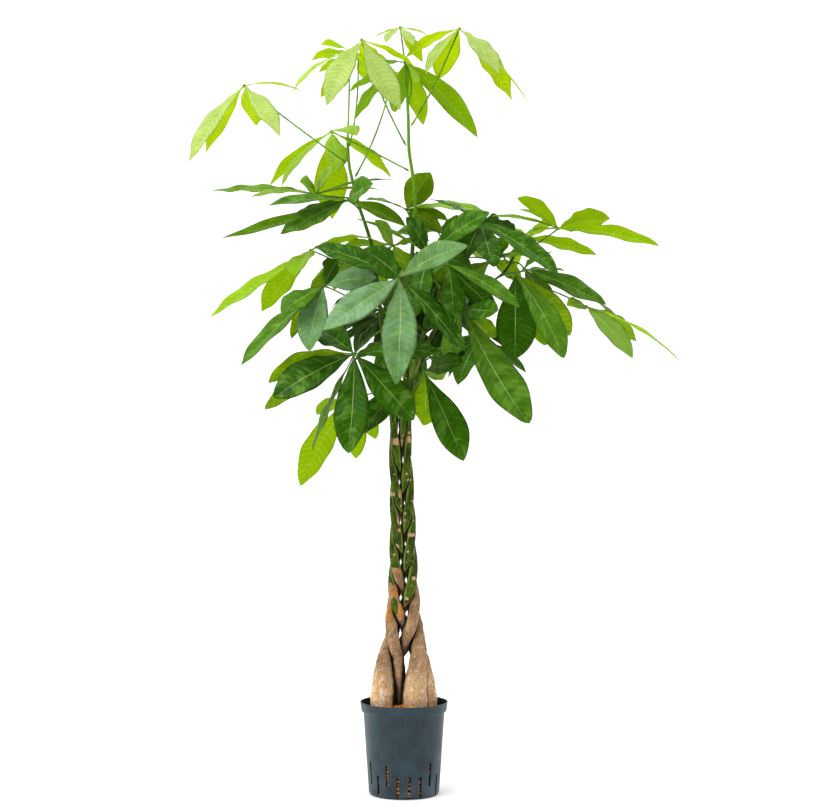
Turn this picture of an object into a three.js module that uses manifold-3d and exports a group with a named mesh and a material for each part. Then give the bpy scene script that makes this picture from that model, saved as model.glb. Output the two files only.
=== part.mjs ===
// Potted money tree: five trunks braided into one, with long-stalked hand-shaped leaves,
// in a slit nursery pot filled with clay granulate.
// Millimetres, +Z up. The origin is the centre of the pot's underside, and -Y is the front.

import * as THREE from "three";
import { mergeVertices } from "three/addons/utils/BufferGeometryUtils.js";
import Module from "manifold-3d";

const wasm = await Module();
wasm.setup();

// Clearances
const SEAT_GAP = 0.4;          // between a leaf stalk and its stem, and round the clay
const BARK_GAP = 0.5;          // between trunks that press on each other
const HOLE_GAP = 0.7;          // between a trunk's foot and the clay
const BLADE_GAP = 0.9;         // added to a blade's thickness when it is tested for room
const SLIVER = 0.12;           // facets finer than this are merged after cutting and joining

// Pot: 18 cm across the rim and 19 cm high
const POT_HEIGHT = 190;
const RIM_RADIUS = 90;
const COLLAR_HEIGHT = 21;
const COLLAR_FOOT_RADIUS = 87;
const BODY_TOP_RADIUS = 83;
const BASE_RADIUS = 72;
const BASE_ROUNDING = 8;
const POT_WALL = 2;
const POT_SIDES = 28;

// Slits in the pot's wall, in an upper and a lower row
const SLIT_ROWS = "LLULULULULULLLULULUL";
const SLIT_WIDTH = 4;
const SLIT_REACH = { U: [25, 71], L: [4, 46] };
const SLIT_CUT = [66, 90];     // from and to this radius, through the wall
const DRAIN_NOTCH = { count: 3, width: 20, height: 3.5, depth: 9, firstAngle: 7 };

// Clay granulate
const CLAY_TOP = 171;
const CLAY_SIDES = 20;
const CLAY_EDGE_DROP = 8;      // the filling is lower along the wall
const PEBBLE_RADIUS = 9.5;
const PEBBLE_SEATS = 36;
const PEBBLE_KEEP_OFF = 22;    // no pebble nearer than this to the middle of a foot
const GOLDEN_ANGLE = 137.508;

// Trunks: heights of their stretches, in mm above the surface
const BULB_FULL = 200;         // up to here each foot stands apart
const BULB_TOP = 305;          // from here up the trunks are braided
const TURN_STOPS = 279;
const STOUT_TO = 350;          // from here up all trunks are equally stout
const BRAID_TOP = 765;
const FORK = 860;              // from here up each stem goes its own way
const TRUNK_SIDES = 7;
const FOOT_SLICES = [62, 110, 165, 190, 210];
const SHOULDER_SLICES = [230, 250, 264];
const FORK_SLICE = 805;

const TURN_STEP = 23;          // degrees of the braid's turn between two slices of a trunk

// [height, value] lists along the trunks; the braid's turn is in degrees
const BRAID_TURN = [
  [279, 324], [329, 288], [369, 252], [401, 216], [436, 180], [474, 144],
  [511, 108], [555, 72], [595, 36], [638, 0], [682, -36], [765, -83],
];
const TRUNK_RADIUS = [
  [62, 14], [120, 22], [170, 25], [191, 25], [232, 22], [273, 18], [314, 14.2],
  [371, 11.4], [437, 10], [519, 9.7], [621, 9], [724, 8], [765, 7.5], [860, 6.8],
];
const SWING_ACROSS = [
  [273, 38], [314, 30], [371, 24.5], [437, 20.5], [519, 17], [621, 15.5], [724, 14.5], [765, 14],
];
const SWING_DEEP = [[273, 24], [314, 21], [371, 18.5], [437, 17.5], [519, 17], [621, 15.5], [765, 13]];
const TRUNK_LEAN = [[300, 0], [568, -2.5], [703, -7], [765, -8]];

// Each trunk: where its swollen foot stands, how stout the foot is beside the others,
// and the way of its own stem above the braid
const TRUNKS = [
  {
    name: "trunk_back_right", foot: [43, 12], stoutness: 1, tip: 3.2,
    stem: [[18, 38, 860], [50, 85, 980], [85, 125, 1060], [100, 140, 1100]],
  },
  {
    name: "trunk_right_shoot", foot: [22, -24], stoutness: 1, tip: 3.4,
    stem: [[27, 2, 860], [57, 4, 945], [111, 4, 1005], [209, 0, 1068], [225, -2, 1101]],
  },
  {
    name: "trunk_right_tall", foot: [-38, 30], stoutness: 1, tip: 3,
    stem: [
      [5, -10, 860], [14, -4, 1011], [17.6, 0, 1123], [23.6, 2, 1209], [19.7, 3, 1257],
      [10, 4, 1318], [9, 5, 1380], [6.6, 6, 1433],
    ],
  },
  {
    name: "trunk_back_left", foot: [-43, -16], stoutness: 1, tip: 3.2,
    stem: [[-22, 42, 860], [-45, 80, 980], [-66, 100, 1060], [-75, 108, 1120]],
  },
  {
    name: "trunk_left_tall", foot: [-10, 8], stoutness: 0.7, tip: 3,
    stem: [
      [-32, -14, 860], [-51, -6, 1011], [-64, 0, 1119], [-80, 2, 1169], [-91, 3, 1199],
      [-105, 4, 1253], [-113, 5, 1287], [-116, 6, 1337],
    ],
  },
];

// Leaf stalks and leaflets
const STALK_SIDES = 4;
const STALK_STEPS = 3;
const STALK_RADIUS = [2.7, 1.8, 1.7, 1.8];
const KNOB_RADIUS = 4.5;
const KNOB_HALF_LENGTH = 3;
const LEAST_SLANT = 0.3;       // share of a stalk's direction that leads away from its stem
const SEATING_ROUNDS = 4;
const SEATING_REACH = 12;
const HUB_ROOM = 12;           // round a hub no other leaf's blade comes nearer
const HUB_SHARED = 7;          // nearer to the hub its own blades may meet
const BLADE_THICKNESS = 1.8;
const BLADE_FOLD = 0.22;
const BLADE_ARCH = 0.045;
const BASE_HALF_WIDTH = 1.3;
const BASE_INSET = 1.5;
const BLADE_FULLNESS = 1.1;    // makes up for the round outline that few flats cut short
const NECK = 0.08;             // share of a leaflet's length that is only its slim neck
const FRONT_STATIONS = [NECK, 0.4, 0.74];
const REAR_STATIONS = [NECK, 0.6];

// Ways in which a stalk's middle moves aside, in mm, and a leaflet turns aside:
// degrees towards the viewer, then degrees round the hub as the viewer sees it
const STALK_SHIFTS = [
  [0, 0, 0], [0, 14, 0], [0, -14, 0], [14, 0, 8], [-14, 0, 8], [0, 28, 8], [0, -28, 8],
  [24, 12, 0], [-24, 12, 0], [24, -12, 0], [-24, -12, 0], [0, 0, 26], [0, 0, -22],
];
const LEAFLET_TURNS = [
  [0, 0], [7, 0], [-7, 0], [14, 0], [-14, 0], [0, 5], [0, -5], [10, 5], [-10, 5], [10, -5],
  [-10, -5], [22, 0], [-22, 0], [18, 8], [-18, 8], [18, -8], [-18, -8], [30, 0], [-30, 0],
  [28, 12], [-28, 12], [28, -12], [-28, -12], [0, 14], [0, -14],
];

// Sizes of the leaves were read off a front view, in the plane of the trunk, from this eye
const EYE = new THREE.Vector3(26.7, -3900, 794);

// Every leaf: the stem it grows on and how high, its hub [across, up, depth], a point that
// its stalk bends towards, and its leaflets: tip from the hub [across, up, towards the viewer],
// degrees its upper face is turned to the viewer (below 0 the underside shows), its width,
// and its arch where it isn't the usual one
const LEAVES = [
  {
    name: "leaf_front_star", stem: "trunk_left_tall", at: 1000,
    hub: [-9, 1057, -170], via: [-34, 1020, -110],
    leaflets: [
      [-7, -220, 70, 85, 70], [-157, -107, 60, 70, 64], [140, 66, 20, 55, 60],
      [-75, 59, 95, 70, 58], [-176, 64, 10, 42, 56], [136, -153, 0, 50, 56],
    ],
  },
  {
    name: "leaf_low_left", stem: "trunk_left_tall", at: 950,
    hub: [-102, 901, -120], via: [-70, 935, -60],
    leaflets: [
      [-12, -204, 70, 80, 70], [-165, -91, 60, 62, 74], [122, -136, 40, 66, 70],
      [172, 6, 30, 50, 56], [-66, 46, -80, 60, 64], [45, 46, -90, 55, 54],
      [-176, -60, -60, -40, 52, 0.1], [-86, -198, -10, 18, 46, 0.02], [-184, -114, -20, -40, 50],
    ],
  },
  {
    name: "leaf_right_low", stem: "trunk_right_shoot", at: 950,
    hub: [121, 994, -110], via: [90, 985, -50],
    leaflets: [
      [136, -236, 60, 66, 84, 0.02], [72, -5, 90, 60, 54], [67, -60, -50, -60, 45],
      [-80, -40, 40, 50, 54], [-30, -110, -40, 50, 54], [-20, 50, -90, 40, 46],
    ],
  },
  {
    name: "leaf_left_mid", stem: "trunk_left_tall", at: 970,
    hub: [-163, 1040, -110], via: [-110, 1020, -60],
    leaflets: [
      [-31, -134, 80, 75, 62], [107, 17, 70, 65, 56], [-171, -163, 40, 40, 54, 0.02],
      [-89, -56, 75, 50, 56], [28, 53, -80, -40, 50], [-68, -108, -60, -40, 45],
    ],
  },
  {
    name: "leaf_right_front", stem: "trunk_right_shoot", at: 1045,
    hub: [228, 1066, -70], via: [215, 1072, -40],
    leaflets: [
      [100, -174, 60, 60, 60], [0, -175, -50, -75, 84], [63, -148, -60, -60, 58],
      [112, -128, -140, -55, 66], [102, 5, -60, 12, 40],
    ],
  },
  {
    name: "leaf_centre_right", stem: "trunk_right_shoot", at: 985,
    hub: [88, 1085, -120], via: [92, 1050, -60],
    leaflets: [
      [149, -89, 40, 45, 46], [10, -135, 20, 60, 56], [75, -100, -70, -60, 46], [-60, -40, -90, 40, 46],
    ],
  },
  {
    name: "leaf_centre_up", stem: "trunk_right_tall", at: 1060,
    hub: [49, 1105, -60], via: [32, 1090, -30],
    leaflets: [
      [127, 86, 50, 50, 60], [-45, 76, 70, 60, 46], [-27, -137, 60, 70, 54],
      [-148, 73, 0, 14, 36], [90, -30, -90, -50, 46],
    ],
  },
  {
    name: "leaf_mid_right", stem: "trunk_right_shoot", at: 1080,
    hub: [158, 1171, -60], via: [190, 1130, -30],
    leaflets: [
      [158, -105, 30, 45, 60], [27, -92, 70, 75, 54], [-106, 47, -40, 15, 40],
      [70, -16, -60, -20, 40], [37, -2, -100, -30, 40], [-42, -88, -70, -60, 54],
    ],
  },
  {
    name: "leaf_low_right", stem: "trunk_right_tall", at: 800,
    hub: [40, 865, -60], via: [20, 822, -40],
    leaflets: [
      [82, -184, 50, 68, 70, 0.02], [-133, -131, 10, 58, 60], [89, 20, 60, 50, 50],
      [0, -105, -60, -60, 66], [38, -18, -100, -40, 45],
    ],
  },
  {
    name: "leaf_left_upper", stem: "trunk_left_tall", at: 1195,
    hub: [-115, 1216, -60], via: [-102, 1208, -30],
    leaflets: [
      [-139, -70, 60, 50, 58, 0.03], [-259, -78, -30, -24, 42, -0.01], [52, 34, 110, 60, 56],
      [-163, -11, 80, 28, 46], [119, -54, -50, -32, 46], [-120, -60, -80, -30, 45],
    ],
  },
  {
    name: "leaf_left_arch", stem: "trunk_left_tall", at: 1040,
    hub: [-192, 1113, -30], via: [-150, 1100, -20],
    leaflets: [
      [-207, -137, 30, 36, 48, 0.01], [-100, -126, -60, -50, 58], [-31, -52, 120, 50, 64],
      [134, 21, 20, 10, 38, 0.11], [106, 21, -60, -12, 36],
    ],
  },
  {
    name: "leaf_left_high", stem: "trunk_left_tall", at: 1222,
    hub: [-180, 1229, 10], via: [-135, 1219, 5],
    leaflets: [
      [-213, 6, 0, 26, 40, 0.03], [-140, -9, 60, 22, 38], [-34, 25, 90, 40, 46],
      [8, 27, 110, 35, 44], [163, 30, -40, 10, 36], [136, 7, 40, 10, 34],
    ],
  },
  {
    name: "leaf_centre_high", stem: "trunk_right_tall", at: 1150,
    hub: [5, 1197, 40], via: [14, 1180, 25],
    leaflets: [
      [49, 76, 30, -75, 60], [-83, 20, 60, 15, 40], [168, -8, 20, 25, 46, 0.07],
      [85, -24, -60, -20, 38], [65, -43, -50, -40, 40],
    ],
  },
  {
    name: "leaf_shoot_tip", stem: "trunk_right_shoot", at: 1101,
    hub: [317, 1158, 0], via: [270, 1122, 0],
    leaflets: [
      [207, -36, 0, -28, 44], [106, 20, -60, -50, 54, 0.075], [-143, 24, 20, 15, 36],
      [-85, 63, -30, -35, 46], [-87, 40, 40, 10, 30], [-69, -14, 60, 15, 30],
    ],
  },
  {
    name: "leaf_shoot_right", stem: "trunk_right_shoot", at: 1088,
    hub: [246, 1076, 30], via: [238, 1090, 15],
    leaflets: [
      [169, -74, 20, 45, 56], [199, -100, -30, 22, 54],
      [58, 34, -60, 20, 40], [60, -90, -110, -50, 46],
    ],
  },
  {
    name: "leaf_shoot_back", stem: "trunk_right_shoot", at: 1092,
    hub: [252, 1140, 60], via: [235, 1115, 30],
    leaflets: [
      [144, -37, -10, -30, 42, 0.02], [60, 30, -120, -30, 40], [-70, 20, -100, 20, 40],
      [-20, -60, -120, -40, 45],
    ],
  },
  {
    name: "leaf_far_right", stem: "trunk_right_shoot", at: 1062,
    hub: [374, 998, 10], via: [295, 1040, 10],
    leaflets: [
      [95, -106, 50, 55, 52], [193, -113, 0, 12, 38, 0.06],
      [103, -72, -60, -40, 48], [-40, 2, -104, -30, 38],
    ],
  },
  {
    name: "leaf_crown_left", stem: "trunk_left_tall", at: 1290,
    hub: [-328, 1451, -60], via: [-238, 1378, -60],
    leaflets: [
      [-114, -158, 50, 42, 54, 0.03], [75, -105, 60, 60, 46], [-79, -139, -60, -40, 46, 0.03],
      [25, -83, -90, -55, 54], [119, -12, 10, 10, 36, 0.06],
    ],
  },
  {
    name: "leaf_crown_mid_left", stem: "trunk_right_tall", at: 1273,
    hub: [-149, 1357, 50], via: [-63, 1316, 20],
    leaflets: [
      [6, -84, 60, 60, 54], [2, -180, -60, -70, 74], [-103, -113, 50, 25, 46],
      [-127, -112, -40, -25, 44], [53, -9, 130, 40, 46], [123, -95, -30, -26, 44],
    ],
  },
  {
    name: "leaf_crown_top_left", stem: "trunk_right_tall", at: 1318,
    hub: [-87, 1545, -50], via: [-52, 1430, -30],
    leaflets: [
      [-72, -136, 60, 75, 54], [80, -145, 60, 75, 54], [114, -61, -20, -12, 36],
      [20, -60, -120, -50, 44],
    ],
  },
  {
    name: "leaf_crown_top_right", stem: "trunk_right_tall", at: 1361,
    hub: [114, 1568, -20], via: [62, 1440, -15],
    leaflets: [
      [81, -93, 60, 50, 52], [-69, -93, 40, 35, 44], [-44, -106, -70, -60, 56],
      [107, -146, -40, -35, 56], [142, -147, 40, 12, 26], [-110, -59, -20, -20, 40],
    ],
  },
  {
    name: "leaf_crown_right", stem: "trunk_right_tall", at: 1412,
    hub: [3, 1498, 20], via: [22, 1455, 14],
    leaflets: [
      [148, -153, -10, 50, 62], [37, -128, -60, -60, 46], [-6, -72, 30, 75, 30],
      [16, -32, 90, 30, 36], [-25, 6, 80, 30, 34],
    ],
  },
  {
    name: "leaf_crown_tip", stem: "trunk_right_tall", at: 1433,
    hub: [-8, 1570, 0], via: [2, 1507, 4],
    leaflets: [
      [27, -37, 50, 50, 28], [-33, -38, 50, 45, 26], [46, -71, -40, -50, 30],
      [-56, -23, 0, 12, 24], [57, -16, -20, 10, 24],
    ],
  },
  {
    name: "leaf_crown_inner", stem: "trunk_left_tall", at: 1255,
    hub: [-23, 1482, 50], via: [-40, 1370, 20],
    leaflets: [
      [-86, -44, -20, 35, 36], [-76, -98, 20, 40, 38],
      [5, -85, -60, 50, 44], [60, -60, -100, -40, 40],
    ],
  },
  {
    name: "leaf_crown_back_left", stem: "trunk_left_tall", at: 1337,
    hub: [-111, 1523, 30], via: [-112, 1430, 15],
    leaflets: [
      [-123, -94, 20, 20, 36, 0.09], [-61, 12, -70, -14, 30],
      [-81, -21, -60, -22, 32], [50, -50, -90, -40, 38],
    ],
  },
  {
    name: "leaf_crown_back_mid", stem: "trunk_left_tall", at: 1318,
    hub: [-94, 1507, 80], via: [-92, 1400, 60],
    leaflets: [
      [-81, -29, -50, -20, 32], [-77, -80, -20, -45, 40],
      [29, -53, -90, -50, 42], [60, -10, -60, -20, 36],
    ],
  },
  {
    name: "leaf_inner_left", stem: "trunk_left_tall", at: 1085,
    hub: [-22, 1123, 20], via: [-42, 1112, 12],
    leaflets: [
      [-104, -3, -20, -20, 36], [-38, 52, -80, -40, 40], [75, 10, -40, -20, 38],
      [-60, -60, -100, -40, 45], [40, -70, -90, -50, 45],
    ],
  },
  {
    name: "leaf_centre_rear", stem: "trunk_back_right", at: 1085,
    hub: [70, 1152, 130], via: [85, 1120, 135],
    leaflets: [
      [-92, -6, 20, 30, 48], [-64, 38, -20, -40, 44], [78, 22, 30, -40, 48], [70, -40, -20, 40, 46],
    ],
  },
  {
    name: "leaf_behind_right", stem: "trunk_back_right", at: 1095,
    hub: [178, 1092, 85], via: [140, 1108, 120],
    leaflets: [
      [64, -40, 20, -40, 48], [-56, -50, 10, 50, 46], [34, 48, 20, -50, 44],
      [-62, 26, 10, 30, 40], [84, 14, -10, 20, 40],
    ],
  },
  {
    name: "leaf_low_hanging", stem: "trunk_back_left", at: 820,
    hub: [-109, 806, 0], via: [-68, 825, 20],
    leaflets: [
      [-103, -176, -40, -60, 64], [-30, -60, 60, 30, 30], [50, -80, -90, -50, 50],
      [-70, -30, -110, -40, 46], [10, -120, -20, -60, 50],
    ],
  },
];

// Leaves at the rear, placed by a rule: how many, and the room they share
const REAR_LEAVES = 11;
const REAR_ACROSS = [-115, 175];
const REAR_UP = [900, 1125];
const REAR_DEEP = [120, 250];
const REAR_STEM_SPLIT = 20;    // hubs left of this grow on the left rear stem
const REAR_STALK_RISE = [60, 100];
const REAR_STALK_BEND = 25;
const REAR_STEM_REACH = { trunk_back_left: [870, 1110], trunk_back_right: [870, 1090] };
const REAR_LEAFLETS = 6;
const REAR_LEAFLET_LENGTH = [115, 175];
const REAR_FAN = 250;
const REAR_FAN_SWAY = 24;
const REAR_DROOP = [20, 45];
const REAR_NARROWING = 0.8;
const REAR_SLENDERNESS = 0.32;
const REAR_FACE = new THREE.Vector3(0, 0.25, 1);

// Steps of the scattered numbers
const SCATTER_STEPS = [0.618, 0.7549, 0.5698, 0.43, 0.37];

// Places along a [height, value] list
function along(list, height) {
  if (height <= list[0][0]) return list[0][1];
  for (let i = 1; i < list.length; i += 1) {
    const [h0, v0] = list[i - 1];
    const [h1, v1] = list[i];
    if (height <= h1) return v0 + ((v1 - v0) * (height - h0)) / (h1 - h0);
  }
  return list[list.length - 1][1];
}

function smoothstep(t) {
  const s = Math.min(Math.max(t, 0), 1);
  return s * s * (3 - 2 * s);
}

const radians = THREE.MathUtils.degToRad;

// Even but scattered numbers from 0 to 1, one row of them for each of the steps
const scatter = (index, row) => (index * SCATTER_STEPS[row]) % 1;

// Solids and meshes
function toSolid(geometry) {
  geometry.deleteAttribute("normal");
  geometry.deleteAttribute("uv");
  const merged = mergeVertices(geometry, 1e-4);
  const vertProperties = new Float32Array(merged.attributes.position.array);
  const triVerts = new Uint32Array(merged.index.array);
  return new wasm.Manifold(new wasm.Mesh({ numProp: 3, vertProperties, triVerts }));
}

function toGeometry(solid) {
  const mesh = solid.simplify(SLIVER).getMesh();
  const geometry = new THREE.BufferGeometry();
  geometry.setAttribute("position", new THREE.BufferAttribute(new Float32Array(mesh.vertProperties), 3));
  geometry.setIndex(new THREE.BufferAttribute(new Uint32Array(mesh.triVerts), 1));
  geometry.computeVertexNormals();
  return geometry;
}

function solidOf(points, triangles) {
  const geometry = new THREE.BufferGeometry();
  geometry.setAttribute("position", new THREE.Float32BufferAttribute(points.flatMap((p) => p.toArray()), 3));
  geometry.setIndex(triangles.flat());
  return toSolid(geometry);
}

// A closed skin over a row of rings, each with the same number of points, counter-clockwise
// as seen from the far end of the row
function skin(rings) {
  const sides = rings[0].length;
  const triangles = [];
  for (let r = 0; r + 1 < rings.length; r += 1) {
    for (let i = 0; i < sides; i += 1) {
      const a = r * sides + i;
      const b = r * sides + ((i + 1) % sides);
      triangles.push([a, b, b + sides], [a, b + sides, a + sides]);
    }
  }
  const last = (rings.length - 1) * sides;
  for (let i = 1; i + 1 < sides; i += 1) {
    triangles.push([0, i + 1, i], [last, last + i, last + i + 1]);
  }
  return solidOf(rings.flat(), triangles);
}

// A ring round a point, square to the way the tube runs there
function squareRing(centre, way, radius, sides) {
  const across = new THREE.Vector3(1, 0, 0).addScaledVector(way, -way.x);
  if (across.length() < 0.3) across.set(0, 1, 0).addScaledVector(way, -way.y);
  across.normalize();
  const other = new THREE.Vector3().crossVectors(way, across);
  return Array.from({ length: sides }, (_, i) => {
    const angle = (2 * Math.PI * i) / sides;
    return centre.clone()
      .addScaledVector(across, radius * Math.cos(angle))
      .addScaledVector(other, radius * Math.sin(angle));
  });
}

// Trunks: where each one's centre is at a height. In the braid each swings from side to side
// and twice as fast to and fro, a fifth of a turn behind the one before.
function braidCentre(index, height) {
  const turn = radians(along(BRAID_TURN, height) + (360 / TRUNKS.length) * index);
  const x = along(TRUNK_LEAN, height) + along(SWING_ACROSS, height) * Math.cos(turn);
  const y = -along(SWING_DEEP, height) * Math.sin(2 * turn);
  return new THREE.Vector2(x, y);
}

function trunkCentre(index, height) {
  if (height > BRAID_TOP) {
    const start = braidCentre(index, BRAID_TOP);
    const [x, y] = TRUNKS[index].stem[0];
    return start.lerp(new THREE.Vector2(x, y), (height - BRAID_TOP) / (FORK - BRAID_TOP));
  }
  const sunk = smoothstep((BULB_TOP - height) / (BULB_TOP - BULB_FULL));
  return braidCentre(index, height).lerp(new THREE.Vector2(...TRUNKS[index].foot), sunk);
}

// Radius of a trunk: each has its own stoutness in the foot, and they are all alike in the braid
function trunkRadius(index, height) {
  const braided = smoothstep((height - TURN_STOPS) / (STOUT_TO - TURN_STOPS));
  return along(TRUNK_RADIUS, height) * THREE.MathUtils.lerp(TRUNKS[index].stoutness, 1, braided);
}

// A level slice of one trunk
function trunkSlice(index, height, extra) {
  const centre = trunkCentre(index, height);
  const middle = new THREE.Vector3(centre.x, centre.y, height);
  const radius = trunkRadius(index, height) + extra;
  return squareRing(middle, new THREE.Vector3(0, 0, 1), radius, TRUNK_SIDES);
}

// Heights of the slices: even steps in the foot, then even steps of the braid's turn
function sliceHeights() {
  const heights = [...FOOT_SLICES, ...SHOULDER_SLICES];
  let turned = along(BRAID_TURN, TURN_STOPS) + TURN_STEP;
  for (let height = TURN_STOPS; height < BRAID_TOP; height += 0.5) {
    if (along(BRAID_TURN, height) <= turned - TURN_STEP) {
      heights.push(height);
      turned = along(BRAID_TURN, height);
    }
  }
  heights.push(BRAID_TOP, FORK_SLICE, FORK);
  return heights;
}

function stemRadius(trunk, height) {
  const top = trunk.stem[trunk.stem.length - 1][2];
  const start = along(TRUNK_RADIUS, FORK);
  return THREE.MathUtils.lerp(start, trunk.tip, Math.sqrt((height - FORK) / (top - FORK)));
}

function stemRings(trunk, extra) {
  const points = trunk.stem.map((p) => new THREE.Vector3(...p));
  return points.slice(1).map((point, i) => {
    const after = points[Math.min(i + 2, points.length - 1)];
    const way = after.clone().sub(points[i]).normalize();
    return squareRing(point, way, stemRadius(trunk, point.z) + extra, TRUNK_SIDES);
  });
}

function roundTrunk(index, extra) {
  const slices = sliceHeights().map((height) => trunkSlice(index, height, extra));
  return skin([...slices, ...stemRings(TRUNKS[index], extra)]);
}

// The trunks have grown against each other: each one is hollowed where a trunk before it
// in this order presses on it
const PRESS_ORDER = [1, 3, 0, 2, 4];

function trunkSolid(index) {
  const before = PRESS_ORDER.slice(0, PRESS_ORDER.indexOf(index));
  return before.reduce((solid, other) => solid.subtract(roundTrunk(other, BARK_GAP)), roundTrunk(index, 0));
}

// A point on a stem's axis, the way the stem runs there, and its radius
function stemAt(trunk, height) {
  if (height <= FORK) {
    const index = TRUNKS.indexOf(trunk);
    const here = trunkCentre(index, height);
    const above = trunkCentre(index, height + 10);
    const way = new THREE.Vector3(above.x - here.x, above.y - here.y, 10).normalize();
    return { point: new THREE.Vector3(here.x, here.y, height), way, radius: trunkRadius(index, height) };
  }
  const points = trunk.stem;
  const i = Math.max(1, points.findIndex((p) => p[2] >= height));
  const low = new THREE.Vector3(...points[i - 1]);
  const high = new THREE.Vector3(...points[i]);
  const way = high.clone().sub(low).normalize();
  const point = low.lerp(high, (height - low.z) / (high.z - low.z));
  return { point, way, radius: stemRadius(trunk, height), atEnd: height === points[points.length - 1][2] };
}

// Pot
function potSolid() {
  const collarFoot = POT_HEIGHT - COLLAR_HEIGHT;
  const rounding = [0, Math.PI / 4, Math.PI / 2].map((angle) => [
    BASE_RADIUS - BASE_ROUNDING + BASE_ROUNDING * Math.sin(angle),
    BASE_ROUNDING - BASE_ROUNDING * Math.cos(angle),
  ]);
  const profile = [
    [0, 0], ...rounding, [BODY_TOP_RADIUS, collarFoot], [COLLAR_FOOT_RADIUS, collarFoot],
    [RIM_RADIUS, POT_HEIGHT - 1], [RIM_RADIUS - 1, POT_HEIGHT], [RIM_RADIUS - POT_WALL, POT_HEIGHT],
    [RIM_RADIUS - POT_WALL - 1.5, POT_HEIGHT - 5], [BODY_TOP_RADIUS - POT_WALL, collarFoot - 3],
    [BASE_RADIUS - POT_WALL, BASE_ROUNDING], [BASE_RADIUS - BASE_ROUNDING, POT_WALL], [0, POT_WALL],
  ].map(([x, y]) => new THREE.Vector2(x, y));
  const body = new THREE.LatheGeometry(profile, POT_SIDES);
  body.rotateX(Math.PI / 2);
  let pot = toSolid(body);

  const [slitFrom, slitTo] = SLIT_CUT;
  [...SLIT_ROWS].forEach((row, i) => {
    const [low, high] = SLIT_REACH[row];
    const cutter = new THREE.BoxGeometry(slitTo - slitFrom, SLIT_WIDTH, high - low);
    cutter.translate((slitFrom + slitTo) / 2, 0, (low + high) / 2);
    cutter.rotateZ(radians((i + 0.5) * (360 / SLIT_ROWS.length) - 90));
    pot = pot.subtract(toSolid(cutter));
  });
  for (let i = 0; i < DRAIN_NOTCH.count; i += 1) {
    const cutter = new THREE.BoxGeometry(DRAIN_NOTCH.depth, DRAIN_NOTCH.width, DRAIN_NOTCH.height * 2);
    cutter.translate(BASE_RADIUS, 0, 0);
    cutter.rotateZ(radians(DRAIN_NOTCH.firstAngle + (360 / DRAIN_NOTCH.count) * i - 90));
    pot = pot.subtract(toSolid(cutter));
  }
  return pot;
}

// Clay granulate: a filling with a pebbled top, and one hole that fits the trunks' feet
function claySolid() {
  const wallIn = (height) => {
    const share = (height - BASE_ROUNDING) / (POT_HEIGHT - COLLAR_HEIGHT - 3 - BASE_ROUNDING);
    return BASE_RADIUS + (BODY_TOP_RADIUS - BASE_RADIUS) * Math.min(share, 1) - POT_WALL - 2 * SEAT_GAP;
  };
  const low = POT_WALL + SEAT_GAP;
  const edge = CLAY_TOP - CLAY_EDGE_DROP;
  const profile = [
    [0, low], [BASE_RADIUS - BASE_ROUNDING - 1, low], [wallIn(12) - 1, 12],
    [wallIn(edge), edge], [wallIn(edge) - 2, edge + 5], [0, CLAY_TOP],
  ].map(([x, y]) => new THREE.Vector2(x, y));
  const body = new THREE.LatheGeometry(profile, CLAY_SIDES);
  body.rotateX(Math.PI / 2);
  const pebbles = [toSolid(body)];

  const room = wallIn(CLAY_TOP) - PEBBLE_RADIUS - 2;
  for (let i = 0; i < PEBBLE_SEATS; i += 1) {
    const out = room * Math.sqrt((i + 0.5) / PEBBLE_SEATS);
    const angle = radians(GOLDEN_ANGLE * i);
    const seat = new THREE.Vector2(out * Math.cos(angle), out * Math.sin(angle));
    const nearest = Math.min(...TRUNKS.map(({ foot }) => seat.distanceTo(new THREE.Vector2(...foot))));
    if (nearest >= PEBBLE_KEEP_OFF) {
      const pebble = new THREE.IcosahedronGeometry(PEBBLE_RADIUS * (0.8 + 0.35 * scatter(i, 0)), 0);
      pebble.rotateX(i);
      pebble.rotateY(2 * i);
      pebble.translate(seat.x, seat.y, CLAY_TOP - 3);
      pebbles.push(toSolid(pebble));
    }
  }
  let clay = wasm.Manifold.union(pebbles);
  TRUNKS.forEach((_, index) => {
    const slices = FOOT_SLICES.map((height) => trunkSlice(index, height, HOLE_GAP));
    slices[0].forEach((point) => point.setZ(FOOT_SLICES[0] - SEAT_GAP));
    clay = clay.subtract(skin(slices));
  });
  return clay;
}

// Where a point seen at [across, up] in the plane of the trunk lies at its own depth
function sight(across, up, depth) {
  const scale = (depth - EYE.y) / -EYE.y;
  return new THREE.Vector3(EYE.x + (across - EYE.x) * scale, depth, EYE.z + (up - EYE.z) * scale);
}

// A leaf stalk from its stem's surface to a little past the hub; its foot can slide inwards
function stalkCurve(leaf, shift, slide) {
  const hub = sight(...leaf.hub);
  const { point, way, radius, atEnd } = stemAt(TRUNKS.find((t) => t.name === leaf.stem), leaf.at);
  const via = (leaf.viaPoint ?? sight(...leaf.via)).clone().add(new THREE.Vector3(...shift));
  const start = via.clone().sub(point).normalize();
  const lengthwise = Math.abs(start.dot(way));
  const aside = Math.sqrt(1 - lengthwise * lengthwise);
  const foot = STALK_RADIUS[0];
  const out = atEnd
    ? (SEAT_GAP + foot * aside) / lengthwise
    : (radius + SEAT_GAP + foot * lengthwise) / Math.max(aside, LEAST_SLANT);
  return new THREE.QuadraticBezierCurve3(point.clone().addScaledVector(start, out - slide), via, hub);
}

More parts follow.
